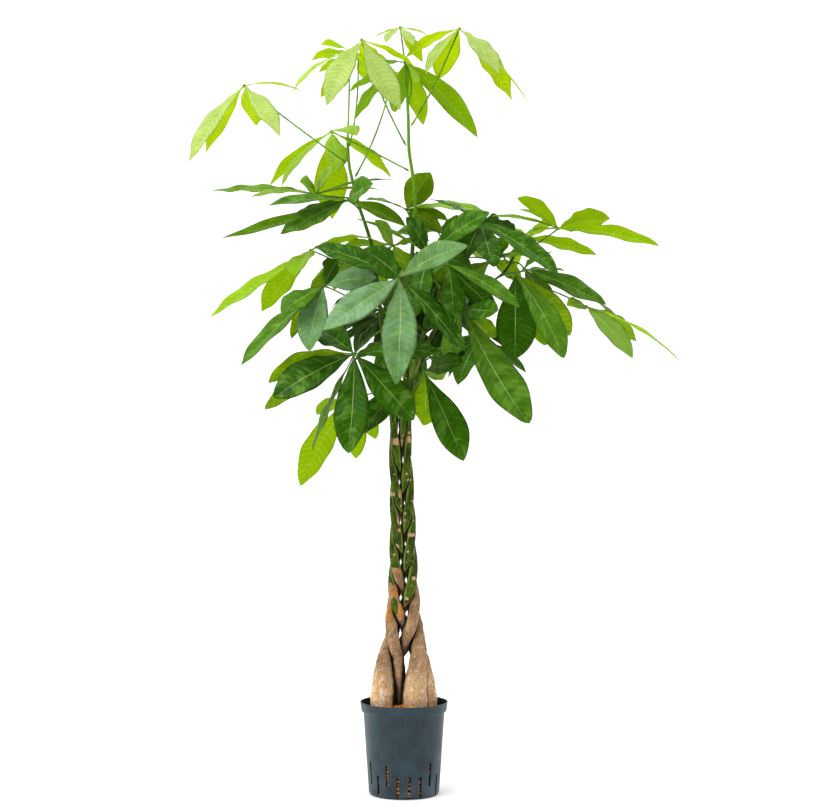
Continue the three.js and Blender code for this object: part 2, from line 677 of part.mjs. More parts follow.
function stalkSolid(leaf, shift, slide) {
  const curve = stalkCurve(leaf, shift, slide);
  const rings = [];
  for (let i = 0; i <= STALK_STEPS; i += 1) {
    const way = curve.getTangent(i / STALK_STEPS);
    const centre = curve.getPoint(i / STALK_STEPS);
    if (i === STALK_STEPS) centre.addScaledVector(way, -KNOB_RADIUS - KNOB_HALF_LENGTH);
    rings.push(squareRing(centre, way, STALK_RADIUS[i], STALK_SIDES));
  }
  const end = curve.getTangent(1);
  const hub = curve.getPoint(1);
  [-1, 1].forEach((side) => {
    const centre = hub.clone().addScaledVector(end, side * KNOB_HALF_LENGTH);
    rings.push(squareRing(centre, end, KNOB_RADIUS, STALK_SIDES));
  });
  return skin(rings);
}

// The same stalk with its foot slid along its own way until only the seat gap is left
function seatedStalk(leaf, shift) {
  const stem = placed.find((solid) => solid.owner === leaf.stem).solid;
  let slide = 0;
  for (let i = 0; i < SEATING_ROUNDS; i += 1) {
    slide += stalkSolid(leaf, shift, slide).minGap(stem, SEATING_REACH) - SEAT_GAP;
  }
  return stalkSolid(leaf, shift, slide);
}

// Width of a leaflet at a share of its length: slim at the hub, widest past the middle
const bladeOutline = (t) => Math.sin(Math.PI * t ** 1.3);

// The chord of a leaflet after one of the turns aside
function turnedChord(chord, turn) {
  const [lean, round] = turn.map(radians);
  const flat = Math.hypot(chord.x, chord.z);
  const length = chord.length();
  const slope = Math.atan2(-chord.y, flat) + lean;
  const bearing = Math.atan2(chord.z, chord.x) + round;
  return new THREE.Vector3(
    length * Math.cos(slope) * Math.cos(bearing),
    -length * Math.sin(slope),
    length * Math.cos(slope) * Math.sin(bearing),
  );
}

// Direction that a leaflet's upper face looks in
function faceOf(leaflet, chord) {
  if (leaflet.face) return leaflet.face.clone().projectOnPlane(chord.clone().normalize()).normalize();
  const way = chord.clone().normalize();
  const front = new THREE.Vector3(0, -1, 0).projectOnPlane(way).normalize();
  const upward = new THREE.Vector3().crossVectors(way, front);
  if (upward.z < 0) upward.negate();
  const turn = radians(leaflet.turn);
  return front.multiplyScalar(Math.sin(turn)).addScaledVector(upward, Math.cos(turn)).normalize();
}

function leafletSolid(hub, leaflet, turn, stations, extra) {
  const chord = turnedChord(leaflet.chord, turn);
  const length = chord.length();
  const way = chord.clone().normalize();
  const face = faceOf(leaflet, chord);
  const side = new THREE.Vector3().crossVectors(way, face);
  const half = BLADE_THICKNESS / 2 + extra;
  const points = [];
  [BASE_INSET / length, ...stations].forEach((t, ring) => {
    const slope = leaflet.arch * 4 * (1 - 2 * t);
    const up = face.clone().addScaledVector(way, -slope).normalize();
    const middle = hub.clone().addScaledVector(chord, t)
      .addScaledVector(face, leaflet.arch * length * 4 * t * (1 - t));
    const outline = t > NECK ? (leaflet.width / 2) * BLADE_FULLNESS * bladeOutline(t) : 0;
    const width = Math.max(outline, BASE_HALF_WIDTH) + extra;
    const rise = ring > 0 ? width * BLADE_FOLD : 0;
    points.push(
      middle.clone().addScaledVector(side, -width).addScaledVector(up, rise),
      middle.clone().addScaledVector(up, -half),
      middle.clone().addScaledVector(side, width).addScaledVector(up, rise),
      middle.clone().addScaledVector(up, half),
    );
  });
  points.push(hub.clone().add(chord));
  const tip = points.length - 1;
  const triangles = [[0, 1, 3], [1, 2, 3]];
  for (let s = 0; s < stations.length; s += 1) {
    const a = 4 * s;
    const b = a + 4;
    triangles.push([a, b + 1, a + 1], [a, b, b + 1], [a + 2, b + 1, b + 2], [a + 2, a + 1, b + 1]);
    triangles.push([a, b + 3, b], [a, a + 3, b + 3], [a + 2, b + 2, b + 3], [a + 2, b + 3, a + 3]);
  }
  const end = 4 * stations.length;
  for (let i = 0; i < 4; i += 1) {
    triangles.push([end + ((i + 1) % 4), end + i, tip]);
  }
  return solidOf(points, triangles);
}

// Leaflets of a leaf in the list
function frontLeaflets(leaf) {
  const hub = sight(...leaf.hub);
  return leaf.leaflets.map(([across, up, towards, turn, width, arch = BLADE_ARCH]) => {
    const tip = sight(leaf.hub[0] + across, leaf.hub[1] + up, leaf.hub[2] - towards);
    return { chord: tip.sub(hub), turn, width, arch };
  });
}

// A leaf at the rear: its hub is scattered through the rear room, on the nearest stem,
// and its leaflets fan out backwards and droop
function rearLeaf(index) {
  const { lerp, clamp } = THREE.MathUtils;
  const room = [REAR_ACROSS, REAR_UP, REAR_DEEP];
  const hub = room.map((range, row) => lerp(...range, scatter(index + 0.5, row)));
  const stem = hub[0] < REAR_STEM_SPLIT ? "trunk_back_left" : "trunk_back_right";
  const at = clamp(hub[1] - lerp(...REAR_STALK_RISE, scatter(index, 3)), ...REAR_STEM_REACH[stem]);
  const leaflets = [];
  for (let i = 0; i < REAR_LEAFLETS; i += 1) {
    const share = i / (REAR_LEAFLETS - 1) - 0.5;
    const azimuth = radians(90 + share * REAR_FAN + REAR_FAN_SWAY * (scatter(index, 4) - 0.5));
    const length = lerp(...REAR_LEAFLET_LENGTH, 0.5 + 0.5 * Math.sin(azimuth));
    const droop = radians(lerp(...REAR_DROOP, scatter(index * REAR_LEAFLETS + i, 0)));
    const chord = new THREE.Vector3(
      length * Math.cos(droop) * Math.cos(azimuth) * REAR_NARROWING,
      length * Math.cos(droop) * Math.sin(azimuth),
      -length * Math.sin(droop),
    );
    leaflets.push({ chord, face: REAR_FACE, width: REAR_SLENDERNESS * length, arch: BLADE_ARCH });
  }
  return { name: `leaf_rear_${String(index + 1).padStart(2, "0")}`, stem, at, hub, leaflets };
}

// Solids already in place, so that later ones can keep clear of them
const placed = [];

function boxOf(solid) {
  const { min, max } = solid.boundingBox();
  return new THREE.Box3(new THREE.Vector3(...min), new THREE.Vector3(...max));
}

function place(owner, solid, isBlade = false) {
  placed.push({ owner, solid, isBlade, box: boxOf(solid) });
}

const meets = (other, solid, box) => (
  other.box.intersectsBox(box) && other.solid.intersect(solid).volume() > 0
);

// Room among everything that belongs to another owner
function hasRoom(owner, solid) {
  const box = boxOf(solid);
  return !placed.some((other) => other.owner !== owner && meets(other, solid, box));
}

// Room among the other blades of the same leaf, away from the hub that they share
function isApart(owner, solid) {
  const box = boxOf(solid);
  return !placed.some((other) => other.owner === owner && other.isBlade && meets(other, solid, box));
}

// Colours
const POT_COLOUR = 0x3c4a50;
const CLAY_COLOUR = 0xa9622c;
const BARK_COLOUR = 0x8f7354;
const LEAF_COLOUR = 0x3f7d22;
const CROWN_COLOUR = 0x9cc02e;

const tree = new THREE.Group();

function addMesh(name, solid, colour, roughness) {
  const material = new THREE.MeshStandardMaterial({ color: colour, roughness, metalness: 0 });
  const mesh = new THREE.Mesh(toGeometry(solid), material);
  mesh.name = name;
  tree.add(mesh);
}

addMesh("pot", potSolid(), POT_COLOUR, 0.6);
addMesh("clay_granulate", claySolid(), CLAY_COLOUR, 0.95);

TRUNKS.forEach((trunk, index) => {
  const solid = trunkSolid(index);
  place(trunk.name, solid);
  addMesh(trunk.name, solid, BARK_COLOUR, 0.85);
});

// Leaves: all the stalks first, then each leaf's leaflets in the first place that is free
const frontLeaves = LEAVES.map((leaf) => ({
  ...leaf, hubPoint: sight(...leaf.hub), leaflets: frontLeaflets(leaf), stations: FRONT_STATIONS,
}));
const rearLeaves = Array.from({ length: REAR_LEAVES }, (_, i) => {
  const leaf = rearLeaf(i);
  const hubPoint = sight(...leaf.hub);
  const foot = stemAt(TRUNKS.find((t) => t.name === leaf.stem), leaf.at).point;
  const viaPoint = foot.clone().lerp(hubPoint, 0.5).add(new THREE.Vector3(0, 0, REAR_STALK_BEND));
  return { ...leaf, hubPoint, viaPoint, stations: REAR_STATIONS };
});
const leaves = [...frontLeaves, ...rearLeaves];

leaves.forEach((leaf) => {
  const shift = STALK_SHIFTS.find((option) => hasRoom(leaf.name, seatedStalk(leaf, option)));
  leaf.stalk = seatedStalk(leaf, shift ?? STALK_SHIFTS[0]);
  place(leaf.name, leaf.stalk);
});
const ball = (centre, radius) => {
  const geometry = new THREE.IcosahedronGeometry(radius, 0);
  geometry.translate(...centre.toArray());
  return toSolid(geometry);
};
leaves.forEach((leaf) => place(leaf.name, ball(leaf.hubPoint, HUB_ROOM)));

leaves.forEach((leaf) => {
  const parts = [leaf.stalk];
  const shared = ball(leaf.hubPoint, HUB_SHARED);
  leaf.leaflets.forEach((leaflet) => {
    const blade = (turn, extra) => leafletSolid(leaf.hubPoint, leaflet, turn, leaf.stations, extra);
    const turn = LEAFLET_TURNS.find((option) => {
      const thick = blade(option, BLADE_GAP / 2);
      return hasRoom(leaf.name, thick) && isApart(leaf.name, thick.subtract(shared));
    });
    if (!turn) return;
    parts.push(blade(turn, 0));
    place(leaf.name, blade(turn, 0).subtract(shared), true);
  });
  const solid = wasm.Manifold.union(parts);
  const crown = leaf.name.startsWith("leaf_crown") || leaf.name.startsWith("leaf_shoot");
  addMesh(leaf.name, solid, crown ? CROWN_COLOUR : LEAF_COLOUR, 0.5);
});

export default tree;
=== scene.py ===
import math
import random

import bmesh
import bpy
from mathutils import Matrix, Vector, noise


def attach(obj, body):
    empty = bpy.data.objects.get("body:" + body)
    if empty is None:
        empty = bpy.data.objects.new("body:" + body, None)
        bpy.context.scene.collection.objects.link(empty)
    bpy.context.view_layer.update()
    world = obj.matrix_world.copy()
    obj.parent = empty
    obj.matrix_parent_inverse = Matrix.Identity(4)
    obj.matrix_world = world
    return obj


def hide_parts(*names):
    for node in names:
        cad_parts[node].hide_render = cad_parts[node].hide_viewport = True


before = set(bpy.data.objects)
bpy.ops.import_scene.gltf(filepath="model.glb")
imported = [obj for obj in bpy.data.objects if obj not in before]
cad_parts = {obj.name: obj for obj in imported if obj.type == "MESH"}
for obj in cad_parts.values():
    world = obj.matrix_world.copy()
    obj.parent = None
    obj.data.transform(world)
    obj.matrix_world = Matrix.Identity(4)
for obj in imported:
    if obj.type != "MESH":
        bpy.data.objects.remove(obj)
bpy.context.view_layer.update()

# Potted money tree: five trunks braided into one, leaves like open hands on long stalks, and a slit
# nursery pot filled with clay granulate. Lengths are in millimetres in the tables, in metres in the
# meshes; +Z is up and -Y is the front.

MM = 0.001


# Colours and shader nodes

SMOOTHLY = {"interpolation_type": "SMOOTHSTEP"}


def linear(hex_colour):
    """An sRGB hex colour as linear red, green, blue and alpha."""
    parts = [int(hex_colour[i:i + 2], 16) / 255 for i in (1, 3, 5)]
    return [c / 12.92 if c <= 0.04045 else ((c + 0.055) / 1.055) ** 2.4 for c in parts] + [1.0]


def add(tree, kind, wires=None, output=0, **settings):
    """Adds a shader node and gives one of its outputs. Each wire is one of the node's inputs with its
    value, its hex colour or the output that feeds it."""
    made = tree.nodes.new("ShaderNode" + kind)
    for name, value in settings.items():
        setattr(made, name, value)
    for name, value in (wires or {}).items():
        if isinstance(value, bpy.types.NodeSocket):
            tree.links.new(value, made.inputs[name])
        else:
            made.inputs[name].default_value = linear(value) if isinstance(value, str) else value
    return made.outputs[output]


def material(name):
    """A new material with an empty node tree, and the input that its shader goes into."""
    made = bpy.data.materials.new(name)
    made.use_nodes = True
    made.node_tree.nodes.clear()
    return made, made.node_tree, made.node_tree.nodes.new("ShaderNodeOutputMaterial").inputs[0]


def coated(tree, under, coat, value, start, end, share=1.0, blend="MIX"):
    """A colour under a coat of another, which comes in while a value goes from start to end."""
    amount = add(tree, "MapRange", {0: value, 1: start, 2: end, 4: share}, **SMOOTHLY)
    return add(tree, "Mix", {0: amount, 6: under, 7: coat}, 2, data_type="RGBA", blend_type=blend)


# Injection-moulded polypropylene: slate grey, satin, a little chalky where it has been handled. The
# same finish in near black and dull is painted shade on the wall's inner side.
def moulded_polypropylene(name, dark, pale, sheen):
    made, tree, surface = material(name)
    where = add(tree, "TexCoord", output="Object")
    height = add(tree, "SeparateXYZ", {0: where}, "Z")
    # Each pattern's grain in mm, its detail, and its upright scale, below 1 where it is drawn out
    clouds, streaks, grain = (
        add(tree, "TexNoise", {
            "Vector": add(tree, "Mapping", {"Vector": where, "Scale": (1, 1, upright)}),
            "Scale": 1 / (size * MM), "Detail": detail, "Roughness": 0.55})
        for size, detail, upright in ((42, 4.0, 1), (9, 3.0, 0.12), (0.9, 2.0, 1))
    )
    colour = coated(tree, dark, pale, clouds, 0.35, 0.7)
    colour = coated(tree, colour, "#3a4c54", streaks, 0.55, 0.8, 0.25)

    # Dust and lime near the ground
    low = add(tree, "MapRange", {0: height, 1: 0.055, 2: 0.0, 4: 0.5}, **SMOOTHLY)
    cloudy = add(tree, "MapRange", {0: clouds, 1: 0.3, 2: 0.7}, **SMOOTHLY)
    dust = add(tree, "Math", {0: low, 1: cloudy}, operation="MULTIPLY")
    colour = add(tree, "Mix", {0: dust, 6: colour, 7: "#44545c"}, 2, data_type="RGBA")

    bump = add(tree, "Bump", {"Height": grain, "Strength": 0.12, "Distance": 0.3 * MM})
    rough = add(tree, "MapRange", {0: streaks, 1: 0.3, 2: 0.8, 3: 0.4, 4: 0.55}, **SMOOTHLY)
    skin = add(tree, "BsdfPrincipled", {
        "Base Color": colour, "Roughness": rough, "IOR": 1.49, "Specular IOR Level": sheen, "Normal": bump})
    tree.links.new(skin, surface)
    return made


# Expanded clay: fired orange-brown balls, porous and dull, each one a little different. The same finish
# in near black is painted shade on the fines between them.
def expanded_clay(name, dark, pale):
    made, tree, surface = material(name)
    where = add(tree, "TexCoord", output="Object")
    lump, pores = (
        add(tree, "TexNoise", {
            "Vector": where, "Scale": 1 / (size * MM), "Detail": detail, "Roughness": rough})
        for size, detail, rough in ((13, 1.0, 0.55), (1.6, 3.0, 0.7))
    )
    colour = coated(tree, dark, pale, lump, 0.35, 0.65)
    colour = coated(tree, colour, "#4a2713", pores, 0.48, 0.3, 0.8)
    bump = add(tree, "Bump", {"Height": pores, "Strength": 0.6, "Distance": 1.2 * MM})
    skin = add(tree, "BsdfPrincipled", {
        "Base Color": colour, "Roughness": 0.92, "IOR": 1.5, "Specular IOR Level": 0.3, "Normal": bump})
    tree.links.new(skin, surface)
    return made


# Pachira bark: corky tan with pale flecks at the foot, grey-brown above it, orange where the cork
# has peeled, then smooth green skin with tan leaf scars; painted shade, near black, where other trunks
# stand close and take the light. The attributes youth, peel and scar say how much of each there is, and
# the fourth how much shade the other trunks cast.
def pachira_bark():
    made, tree, surface = material("pachira_bark")
    where = add(tree, "TexCoord", output="Object")
    height = add(tree, "SeparateXYZ", {0: where}, "Z")
    youth, peel, scar, trunk_shade = (
        add(tree, "Attribute", output="Fac", attribute_name=name)
        for name in ("youth", "peel", "scar", "trunk_shade")
    )
    # Each pattern's grain in mm, its detail, its roughness, and its upright scale
    patches, fibres, flecks, grit = (
        add(tree, "TexNoise", {
            "Vector": add(tree, "Mapping", {"Vector": where, "Scale": (1, 1, upright)}),
            "Scale": 1 / (size * MM), "Detail": detail, "Roughness": rough})
        for size, detail, rough, upright in (
            (16, 4.0, 0.6, 0.45), (3.4, 4.0, 0.7, 0.25), (6, 4.0, 0.68, 0.6), (2.6, 3.0, 0.7, 1))
    )
    # Patches and flecks make the rims of peeled, green and scarred places uneven
    rims = add(tree, "Math", {0: patches, 1: 0.9, 2: -0.45}, operation="MULTIPLY_ADD")
    nicks = add(tree, "Math", {0: flecks, 1: 0.5}, operation="SUBTRACT")

    cork = coated(tree, "#dea870", "#ffd298", patches, 0.35, 0.65)
    cork = coated(tree, cork, "#ffeeda", flecks, 0.49, 0.61, 0.85)
    cork = coated(tree, cork, "#5a3822", grit, 0.45, 0.36, 0.85)
    older = coated(tree, "#947453", "#c39c72", patches, 0.35, 0.65)
    older = coated(tree, older, "#dcc2a8", flecks, 0.54, 0.66, 0.7)
    older = coated(tree, older, "#3a271a", grit, 0.47, 0.36, 0.8)
    up_foot = add(tree, "Math", {0: patches, 1: 0.08, 2: height}, operation="MULTIPLY_ADD")
    brown = coated(tree, cork, older, up_foot, 0.25, 0.32)

    peel_edge = add(tree, "Math", {0: peel, 1: rims}, operation="ADD")
    raw = coated(tree, "#b8763a", "#dd9d58", fibres, 0.35, 0.65)
    brown = coated(tree, brown, raw, peel_edge, 0.46, 0.54)

    # Green skin has a painted highlight on the ridge beside each shaded seam between two trunks, and is
    # lime near the crown
    green = coated(tree, "#293a05", "#4f680c", patches, 0.3, 0.7)
    green = coated(tree, green, "#6f8c34", flecks, 0.52, 0.66, 0.5)
    green = coated(tree, green, "#191f08", fibres, 0.5, 0.38, 0.85)
    near_seam = add(tree, "MapRange", {0: trunk_shade, 1: 0.0, 2: 0.06}, **SMOOTHLY)
    off_seam = add(tree, "MapRange", {0: trunk_shade, 1: 0.2, 2: 0.1, 4: 0.55}, **SMOOTHLY)
    seam_highlight = add(tree, "Math", {0: near_seam, 1: off_seam}, operation="MULTIPLY")
    green = add(tree, "Mix", {0: seam_highlight, 6: green, 7: "#93a84c"}, 2, data_type="RGBA")
    green = coated(tree, green, "#6ea418", height, 1.06, 1.3, 0.85)
    young_edge = add(tree, "Math", {0: youth, 1: rims}, operation="ADD")
    is_green = add(tree, "MapRange", {0: young_edge, 1: 0.47, 2: 0.53}, **SMOOTHLY)
    colour = add(tree, "Mix", {0: is_green, 6: brown, 7: green}, 2, data_type="RGBA")

    scar_edge = add(tree, "Math", {0: scar, 1: nicks}, operation="ADD")
    scarred = coated(tree, "#b07c58", "#e2b896", fibres, 0.4, 0.6)
    colour = coated(tree, colour, scarred, scar_edge, 0.45, 0.55, 0.95)
    # Painted shade, near black, in the seams where the other trunks take the light
    crevice_shade = add(tree, "Math", {0: nicks, 1: 0.25, 2: trunk_shade}, operation="MULTIPLY_ADD")
    colour = coated(tree, colour, "#1e1409", crevice_shade, 0.11, 0.4, 0.95)

    # Cork stands out in relief, green skin much less, and scars a little
    relief = add(tree, "Math", {0: flecks, 1: 0.7, 2: fibres}, operation="MULTIPLY_ADD")
    coarse = add(tree, "MapRange", {0: is_green, 3: 1.0, 4: 0.35}, **SMOOTHLY)
    relief = add(tree, "Math", {0: relief, 1: coarse}, operation="MULTIPLY")
    relief = add(tree, "Math", {0: scar_edge, 1: 0.1, 2: relief}, operation="MULTIPLY_ADD")
    bump = add(tree, "Bump", {"Height": relief, "Strength": 1.0, "Distance": 5 * MM})
    rough = add(tree, "MapRange", {0: is_green, 3: 0.9, 4: 0.6}, **SMOOTHLY)
    skin = add(tree, "BsdfPrincipled", {
        "Base Color": colour, "Roughness": rough, "IOR": 1.45, "Specular IOR Level": 0.12, "Normal": bump})
    tree.links.new(skin, surface)
    return made


# Leaf blade: waxed skin with a pale midrib and quilted side veins over tissue that lets light through,
# a new blade twice as much as a grown one. The UV map runs across the blade in x and from hub to tip in
# y. The whole number before the point in x is the blade's tone, its place in the two lists of colours,
# and the whole number in y is how far it is shaded.
# The first tone is painted deep shade, for leaves deep inside the foliage
UPPER_TONES = [
    "#1f4a02", "#3c7401", "#96c094", "#78a266", "#64981a",
    "#98c026", "#7aac02", "#a8cc08", "#b6d45c", "#cad498",
]
UNDER_TONES = [
    "#224a00", "#3e7200", "#608a28", "#608a28", "#6e9a02",
    "#9cc200", "#9abc00", "#b2cc00", "#bed400", "#d0de00",
]
# The third and fourth upper colours are a painted sheen, pale and bluish, as a lamp's reflection gives it
DEEP_SHADE, DARK, PAINTED_SHEEN, FAINT_SHEEN, GROWN, LIGHT, SHOOT, INNER, CROWN, NEWEST = range(10)
SHADES = 6
UV_MARGIN = 0.45
VEIN_ROWS, VEIN_LEAN, VEIN_BEND = 17, 0.095, 1.4


def leaf_skin(name, upper, young):
    made, tree, surface = material(name)
    where = add(tree, "TexCoord", output="Object")
    parts = add(tree, "SeparateXYZ", {0: add(tree, "TexCoord", output="UV")}).node.outputs
    tone_number, shade_number = (add(tree, "Math", {0: part}, operation="FLOOR") for part in parts[:2])
    from_left, along = (add(tree, "Math", {0: part}, operation="FRACT") for part in parts[:2])

    tone_place = add(tree, "Math", {0: tone_number, 1: len(UPPER_TONES)}, operation="DIVIDE")
    tone = add(tree, "ValToRGB", {0: tone_place})
    stops = tone.node.color_ramp
    stops.interpolation = "CONSTANT"
    for i, hex_colour in enumerate(UPPER_TONES if upper else UNDER_TONES):
        stop = stops.elements[i] if i < 1 else stops.elements.new((i - 0.25) / len(UPPER_TONES))
        stop.color = linear(hex_colour)
    stops.elements.remove(stops.elements[-1])

    # Side veins leave the midrib and bend towards the tip
    across = add(tree, "Math", {0: from_left, 1: 0.5}, operation="SUBTRACT")
    aside = add(tree, "Math", {0: across}, operation="ABSOLUTE")
    aside = add(tree, "Math", {0: aside, 1: UV_MARGIN}, operation="DIVIDE")
    bend = add(tree, "Math", {0: aside, 1: VEIN_BEND}, operation="POWER")
    row = add(tree, "Math", {0: bend, 1: -VEIN_LEAN, 2: along}, operation="MULTIPLY_ADD")
    turn = add(tree, "Math", {0: row, 1: 2 * math.pi * VEIN_ROWS}, operation="MULTIPLY")
    pillow = add(tree, "Math", {0: turn}, operation="COSINE")
    vein = add(tree, "MapRange", {0: pillow, 1: 0.9, 2: 1.0}, **SMOOTHLY)
    midrib_half = add(tree, "MapRange", {0: along, 3: 0.045, 4: 0.012}, **SMOOTHLY)
    off_midrib = add(tree, "Math", {0: aside, 1: midrib_half}, operation="DIVIDE")
    midrib = add(tree, "MapRange", {0: off_midrib, 1: 1.4, 2: 0.5}, **SMOOTHLY)
    tissue, clouds = (
        add(tree, "TexNoise", {
            "Vector": where, "Scale": 1 / (size * MM), "Detail": 4.0, "Roughness": rough})
        for size, rough in ((6, 0.55), (26, 0.6))
    )

    # Streaks that carry a painted glossy highlight lie between the side veins, and no two blades have the
    # same ones
    beside = add(tree, "CombineXYZ", {
        axis: add(tree, "Math", {0: value, 1: scale}, operation="MULTIPLY")
        for axis, value, scale in (
            ("X", across, 3.0), ("Y", row, 11.0), ("Z", add(tree, "SeparateXYZ", {0: where}, "Z"), 9.0))
    })
    streaks = add(tree, "TexNoise", {"Vector": beside, "Scale": 1.0, "Detail": 3.0})

    depth, vein_share, valley_share, valley = (
        (0.3, 0.2, 0.25, "#86b83c") if young else (0.6, 0.1, 0.14, "#8fa86a"))
    shade_share = add(tree, "Math", {0: shade_number, 1: SHADES - 1}, operation="DIVIDE")
    colour = coated(tree, tone, "#a4ba80", shade_share, 0, 1, depth, "MULTIPLY")
    colour = coated(tree, colour, "#a0bc70", clouds, 0.35, 0.65, depth, "MULTIPLY")
    colour = coated(tree, colour, valley, pillow, 0.4, -1.0, valley_share, "MULTIPLY")
    shown = add(tree, "MapRange", {
        0: streaks, 1: 0.35, 2: 0.65, 3: 0.2 * vein_share, 4: 1.4 * vein_share}, **SMOOTHLY)
    shown = add(tree, "Math", {0: vein, 1: shown}, operation="MULTIPLY")
    tint = "#d8e888" if upper else "#eaf4a0"
    colour = add(tree, "Mix", {0: shown, 6: colour, 7: tint}, 2, data_type="RGBA")
    # Grown upper sides get a painted highlight, pale green, along the streaks
    if upper and not young:
        colour = coated(tree, colour, "#90c64a", streaks, 0.48, 0.7, 0.3)
    colour = coated(tree, colour, tint, off_midrib, 1.4, 0.5, 0.5 if upper else 0.4)

    # The midrib and side veins are grooves above and ribs below
    relief = add(tree, "Math", {0: streaks, 1: 1.6}, operation="MULTIPLY")
    for value, share in (
        (pillow, -0.3 if upper else 0.3), (tissue, 0.25), (midrib, -0.7 if upper else 1.0),
    ):
        relief = add(tree, "Math", {0: value, 1: share, 2: relief}, operation="MULTIPLY_ADD")
    bump = add(tree, "Bump", {"Height": relief, "Strength": 0.6, "Distance": 1 * MM})
    skin = add(tree, "BsdfPrincipled", {
        "Base Color": colour, "Roughness": 0.34 if upper else 0.55, "IOR": 1.47,
        "Specular IOR Level": 0.1 if upper else 0.05, "Normal": bump})
    glow = add(tree, "Mix", {0: 0.75 if young else 0.3, 6: colour, 7: "#e4f800"}, 2, data_type="RGBA")
    light = add(tree, "BsdfTranslucent", {"Color": glow})
    through = 0.55 if young else 0.26
    tree.links.new(add(tree, "MixShader", {0: through, 1: skin, 2: light}), surface)
    return made


# Leaf stalk: smooth living skin, mottled, dark green when old and lime when new
def stalk_skin(name, dark, pale):
    made, tree, surface = material(name)
    where = add(tree, "TexCoord", output="Object")
    upright = add(tree, "Mapping", {"Vector": where, "Scale": (1, 1, 0.4)})
    mottle = add(tree, "TexNoise", {
        "Vector": upright, "Scale": 1 / (12 * MM), "Detail": 3.0, "Roughness": 0.55})
    colour = coated(tree, dark, pale, mottle, 0.3, 0.7)
    skin = add(tree, "BsdfPrincipled", {
        "Base Color": colour, "Roughness": 0.5, "IOR": 1.45, "Specular IOR Level": 0.2})
    tree.links.new(skin, surface)
    return made


POLYPROPYLENE = moulded_polypropylene("moulded_polypropylene", "#08232b", "#15363f", 0.42)
# The wall's inner side: the same plastic in near black, as painted shade
INSIDE_SHADE = moulded_polypropylene("polypropylene_painted_inner_shade", "#05080a", "#0a1013", 0.08)
CLAY = expanded_clay("expanded_clay", "#c26c2e", "#f0a862")
# The filling between the pebbles: painted shade, near black
FILLING_SHADE = expanded_clay("clay_fines_painted_shade", "#20140c", "#3a2415")
BARK = pachira_bark()
GROWN_SKINS = [
    leaf_skin("grown_leaf_upper_side", True, False),
    leaf_skin("grown_leaf_underside", False, False),
    stalk_skin("grown_leaf_stalk", "#315408", "#56861a"),
]
YOUNG_SKINS = [
    leaf_skin("young_leaf_upper_side", True, True),
    leaf_skin("young_leaf_underside", False, True),
    stalk_skin("young_leaf_stalk", "#46740c", "#7cae20"),
]
UPPER, UNDER, STALK = range(3)


# Meshes

def along_list(pairs, height):
    """The value at a height, between the rows of a list of heights and values."""
    if height <= pairs[0][0]:
        return pairs[0][1]
    for (h0, v0), (h1, v1) in zip(pairs, pairs[1:]):
        if height <= h1:
            return v0 + (v1 - v0) * (height - h0) / (h1 - h0)
    return pairs[-1][1]


def smooth(t):
    """0 up to t = 0, 1 from t = 1, and a soft step between."""
    s = min(max(t, 0.0), 1.0)
    return s * s * (3 - 2 * s)


def sleeve(bm, around, steps, place, skin=0):
    """A closed skin: a grid rolled up so that place(u, t) gives each point, u once round and t from
    end to end. Ends that draw together to a point close by themselves. Returns the faces."""
    made = bmesh.ops.create_grid(bm, x_segments=around, y_segments=steps, size=0.5, calc_uvs=True)
    verts = made["verts"]
    faces = list({face for vert in verts for face in vert.link_faces})
    for vert in verts:
        vert.co = place(vert.co.x + 0.5, vert.co.y + 0.5)
    for face in faces:
        face.smooth = True
        face.material_index = skin
    bmesh.ops.remove_doubles(bm, verts=verts, dist=1e-6)
    faces = [face for face in faces if face.is_valid]
    bmesh.ops.recalc_face_normals(bm, faces=faces)
    return faces


def square_frame(way):
    """Two directions square to way and to each other."""
    across = Vector((1, 0, 0)) - way * way.x
    nearly_along_x = 0.3
    if across.length < nearly_along_x:
        across = Vector((0, 1, 0)) - way * way.y
    across.normalize()
    return across, way.cross(across)


def rod(bm, line, radius_at, around, steps, skin=0):
    """A round rod along line(t), a function that gives a point and a direction."""
    def place(u, t):
        middle, way = line(t)
        across, other = square_frame(way)
        angle = 2 * math.pi * u
        return middle + (across * math.cos(angle) + other * math.sin(angle)) * radius_at(t)
    return sleeve(bm, around, steps, place, skin)


def piece(name, bm, skins, nodes):
    """Finishes a mesh as an object that stands for CAD nodes."""
    mesh = bpy.data.meshes.new(name)
    bm.to_mesh(mesh)
    bm.free()
    for skin in skins:
        mesh.materials.append(skin)
    made = bpy.data.objects.new(name, mesh)
    bpy.context.scene.collection.objects.link(made)
    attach(made, "root")
    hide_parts(*nodes)
    return made


# Trunks, in mm. The lists and the braid's rule are the model's own. Each pair is a height with what holds
# there: a trunk's radius, how far the braid swings across and deep, its lean, or its turn in degrees.

BULB_FULL, BULB_TOP, TURN_STOPS, STOUT_TO, BRAID_TOP, FORK = 200, 305, 279, 350, 765, 860
FORK_RADIUS = 6.8
BRAID_STEP = 72
TRUNK_RADIUS = [
    (62, 14), (120, 22), (170, 25), (191, 25), (232, 22), (273, 18), (314, 14.2),
    (371, 11.4), (437, 9.8), (519, 9.3), (621, 8.6), (724, 7.7), (765, 7.3), (FORK, FORK_RADIUS),
]
SWING_ACROSS = [
    (273, 38), (314, 30), (371, 24.5), (437, 21.3), (519, 18.4), (621, 17), (724, 16), (765, 15.5),
]
SWING_DEEP = [(273, 24), (314, 21), (371, 18.5), (437, 17.5), (519, 17), (621, 15.5), (765, 13)]
TRUNK_LEAN = [(300, 0), (568, -2.5), (703, -7), (765, -8)]
BRAID_TURN = [
    (279, 324), (329, 288), (369, 252), (401, 216), (436, 180), (474, 144),
    (511, 108), (555, 72), (595, 36), (638, 0), (682, -36), (765, -83),
]

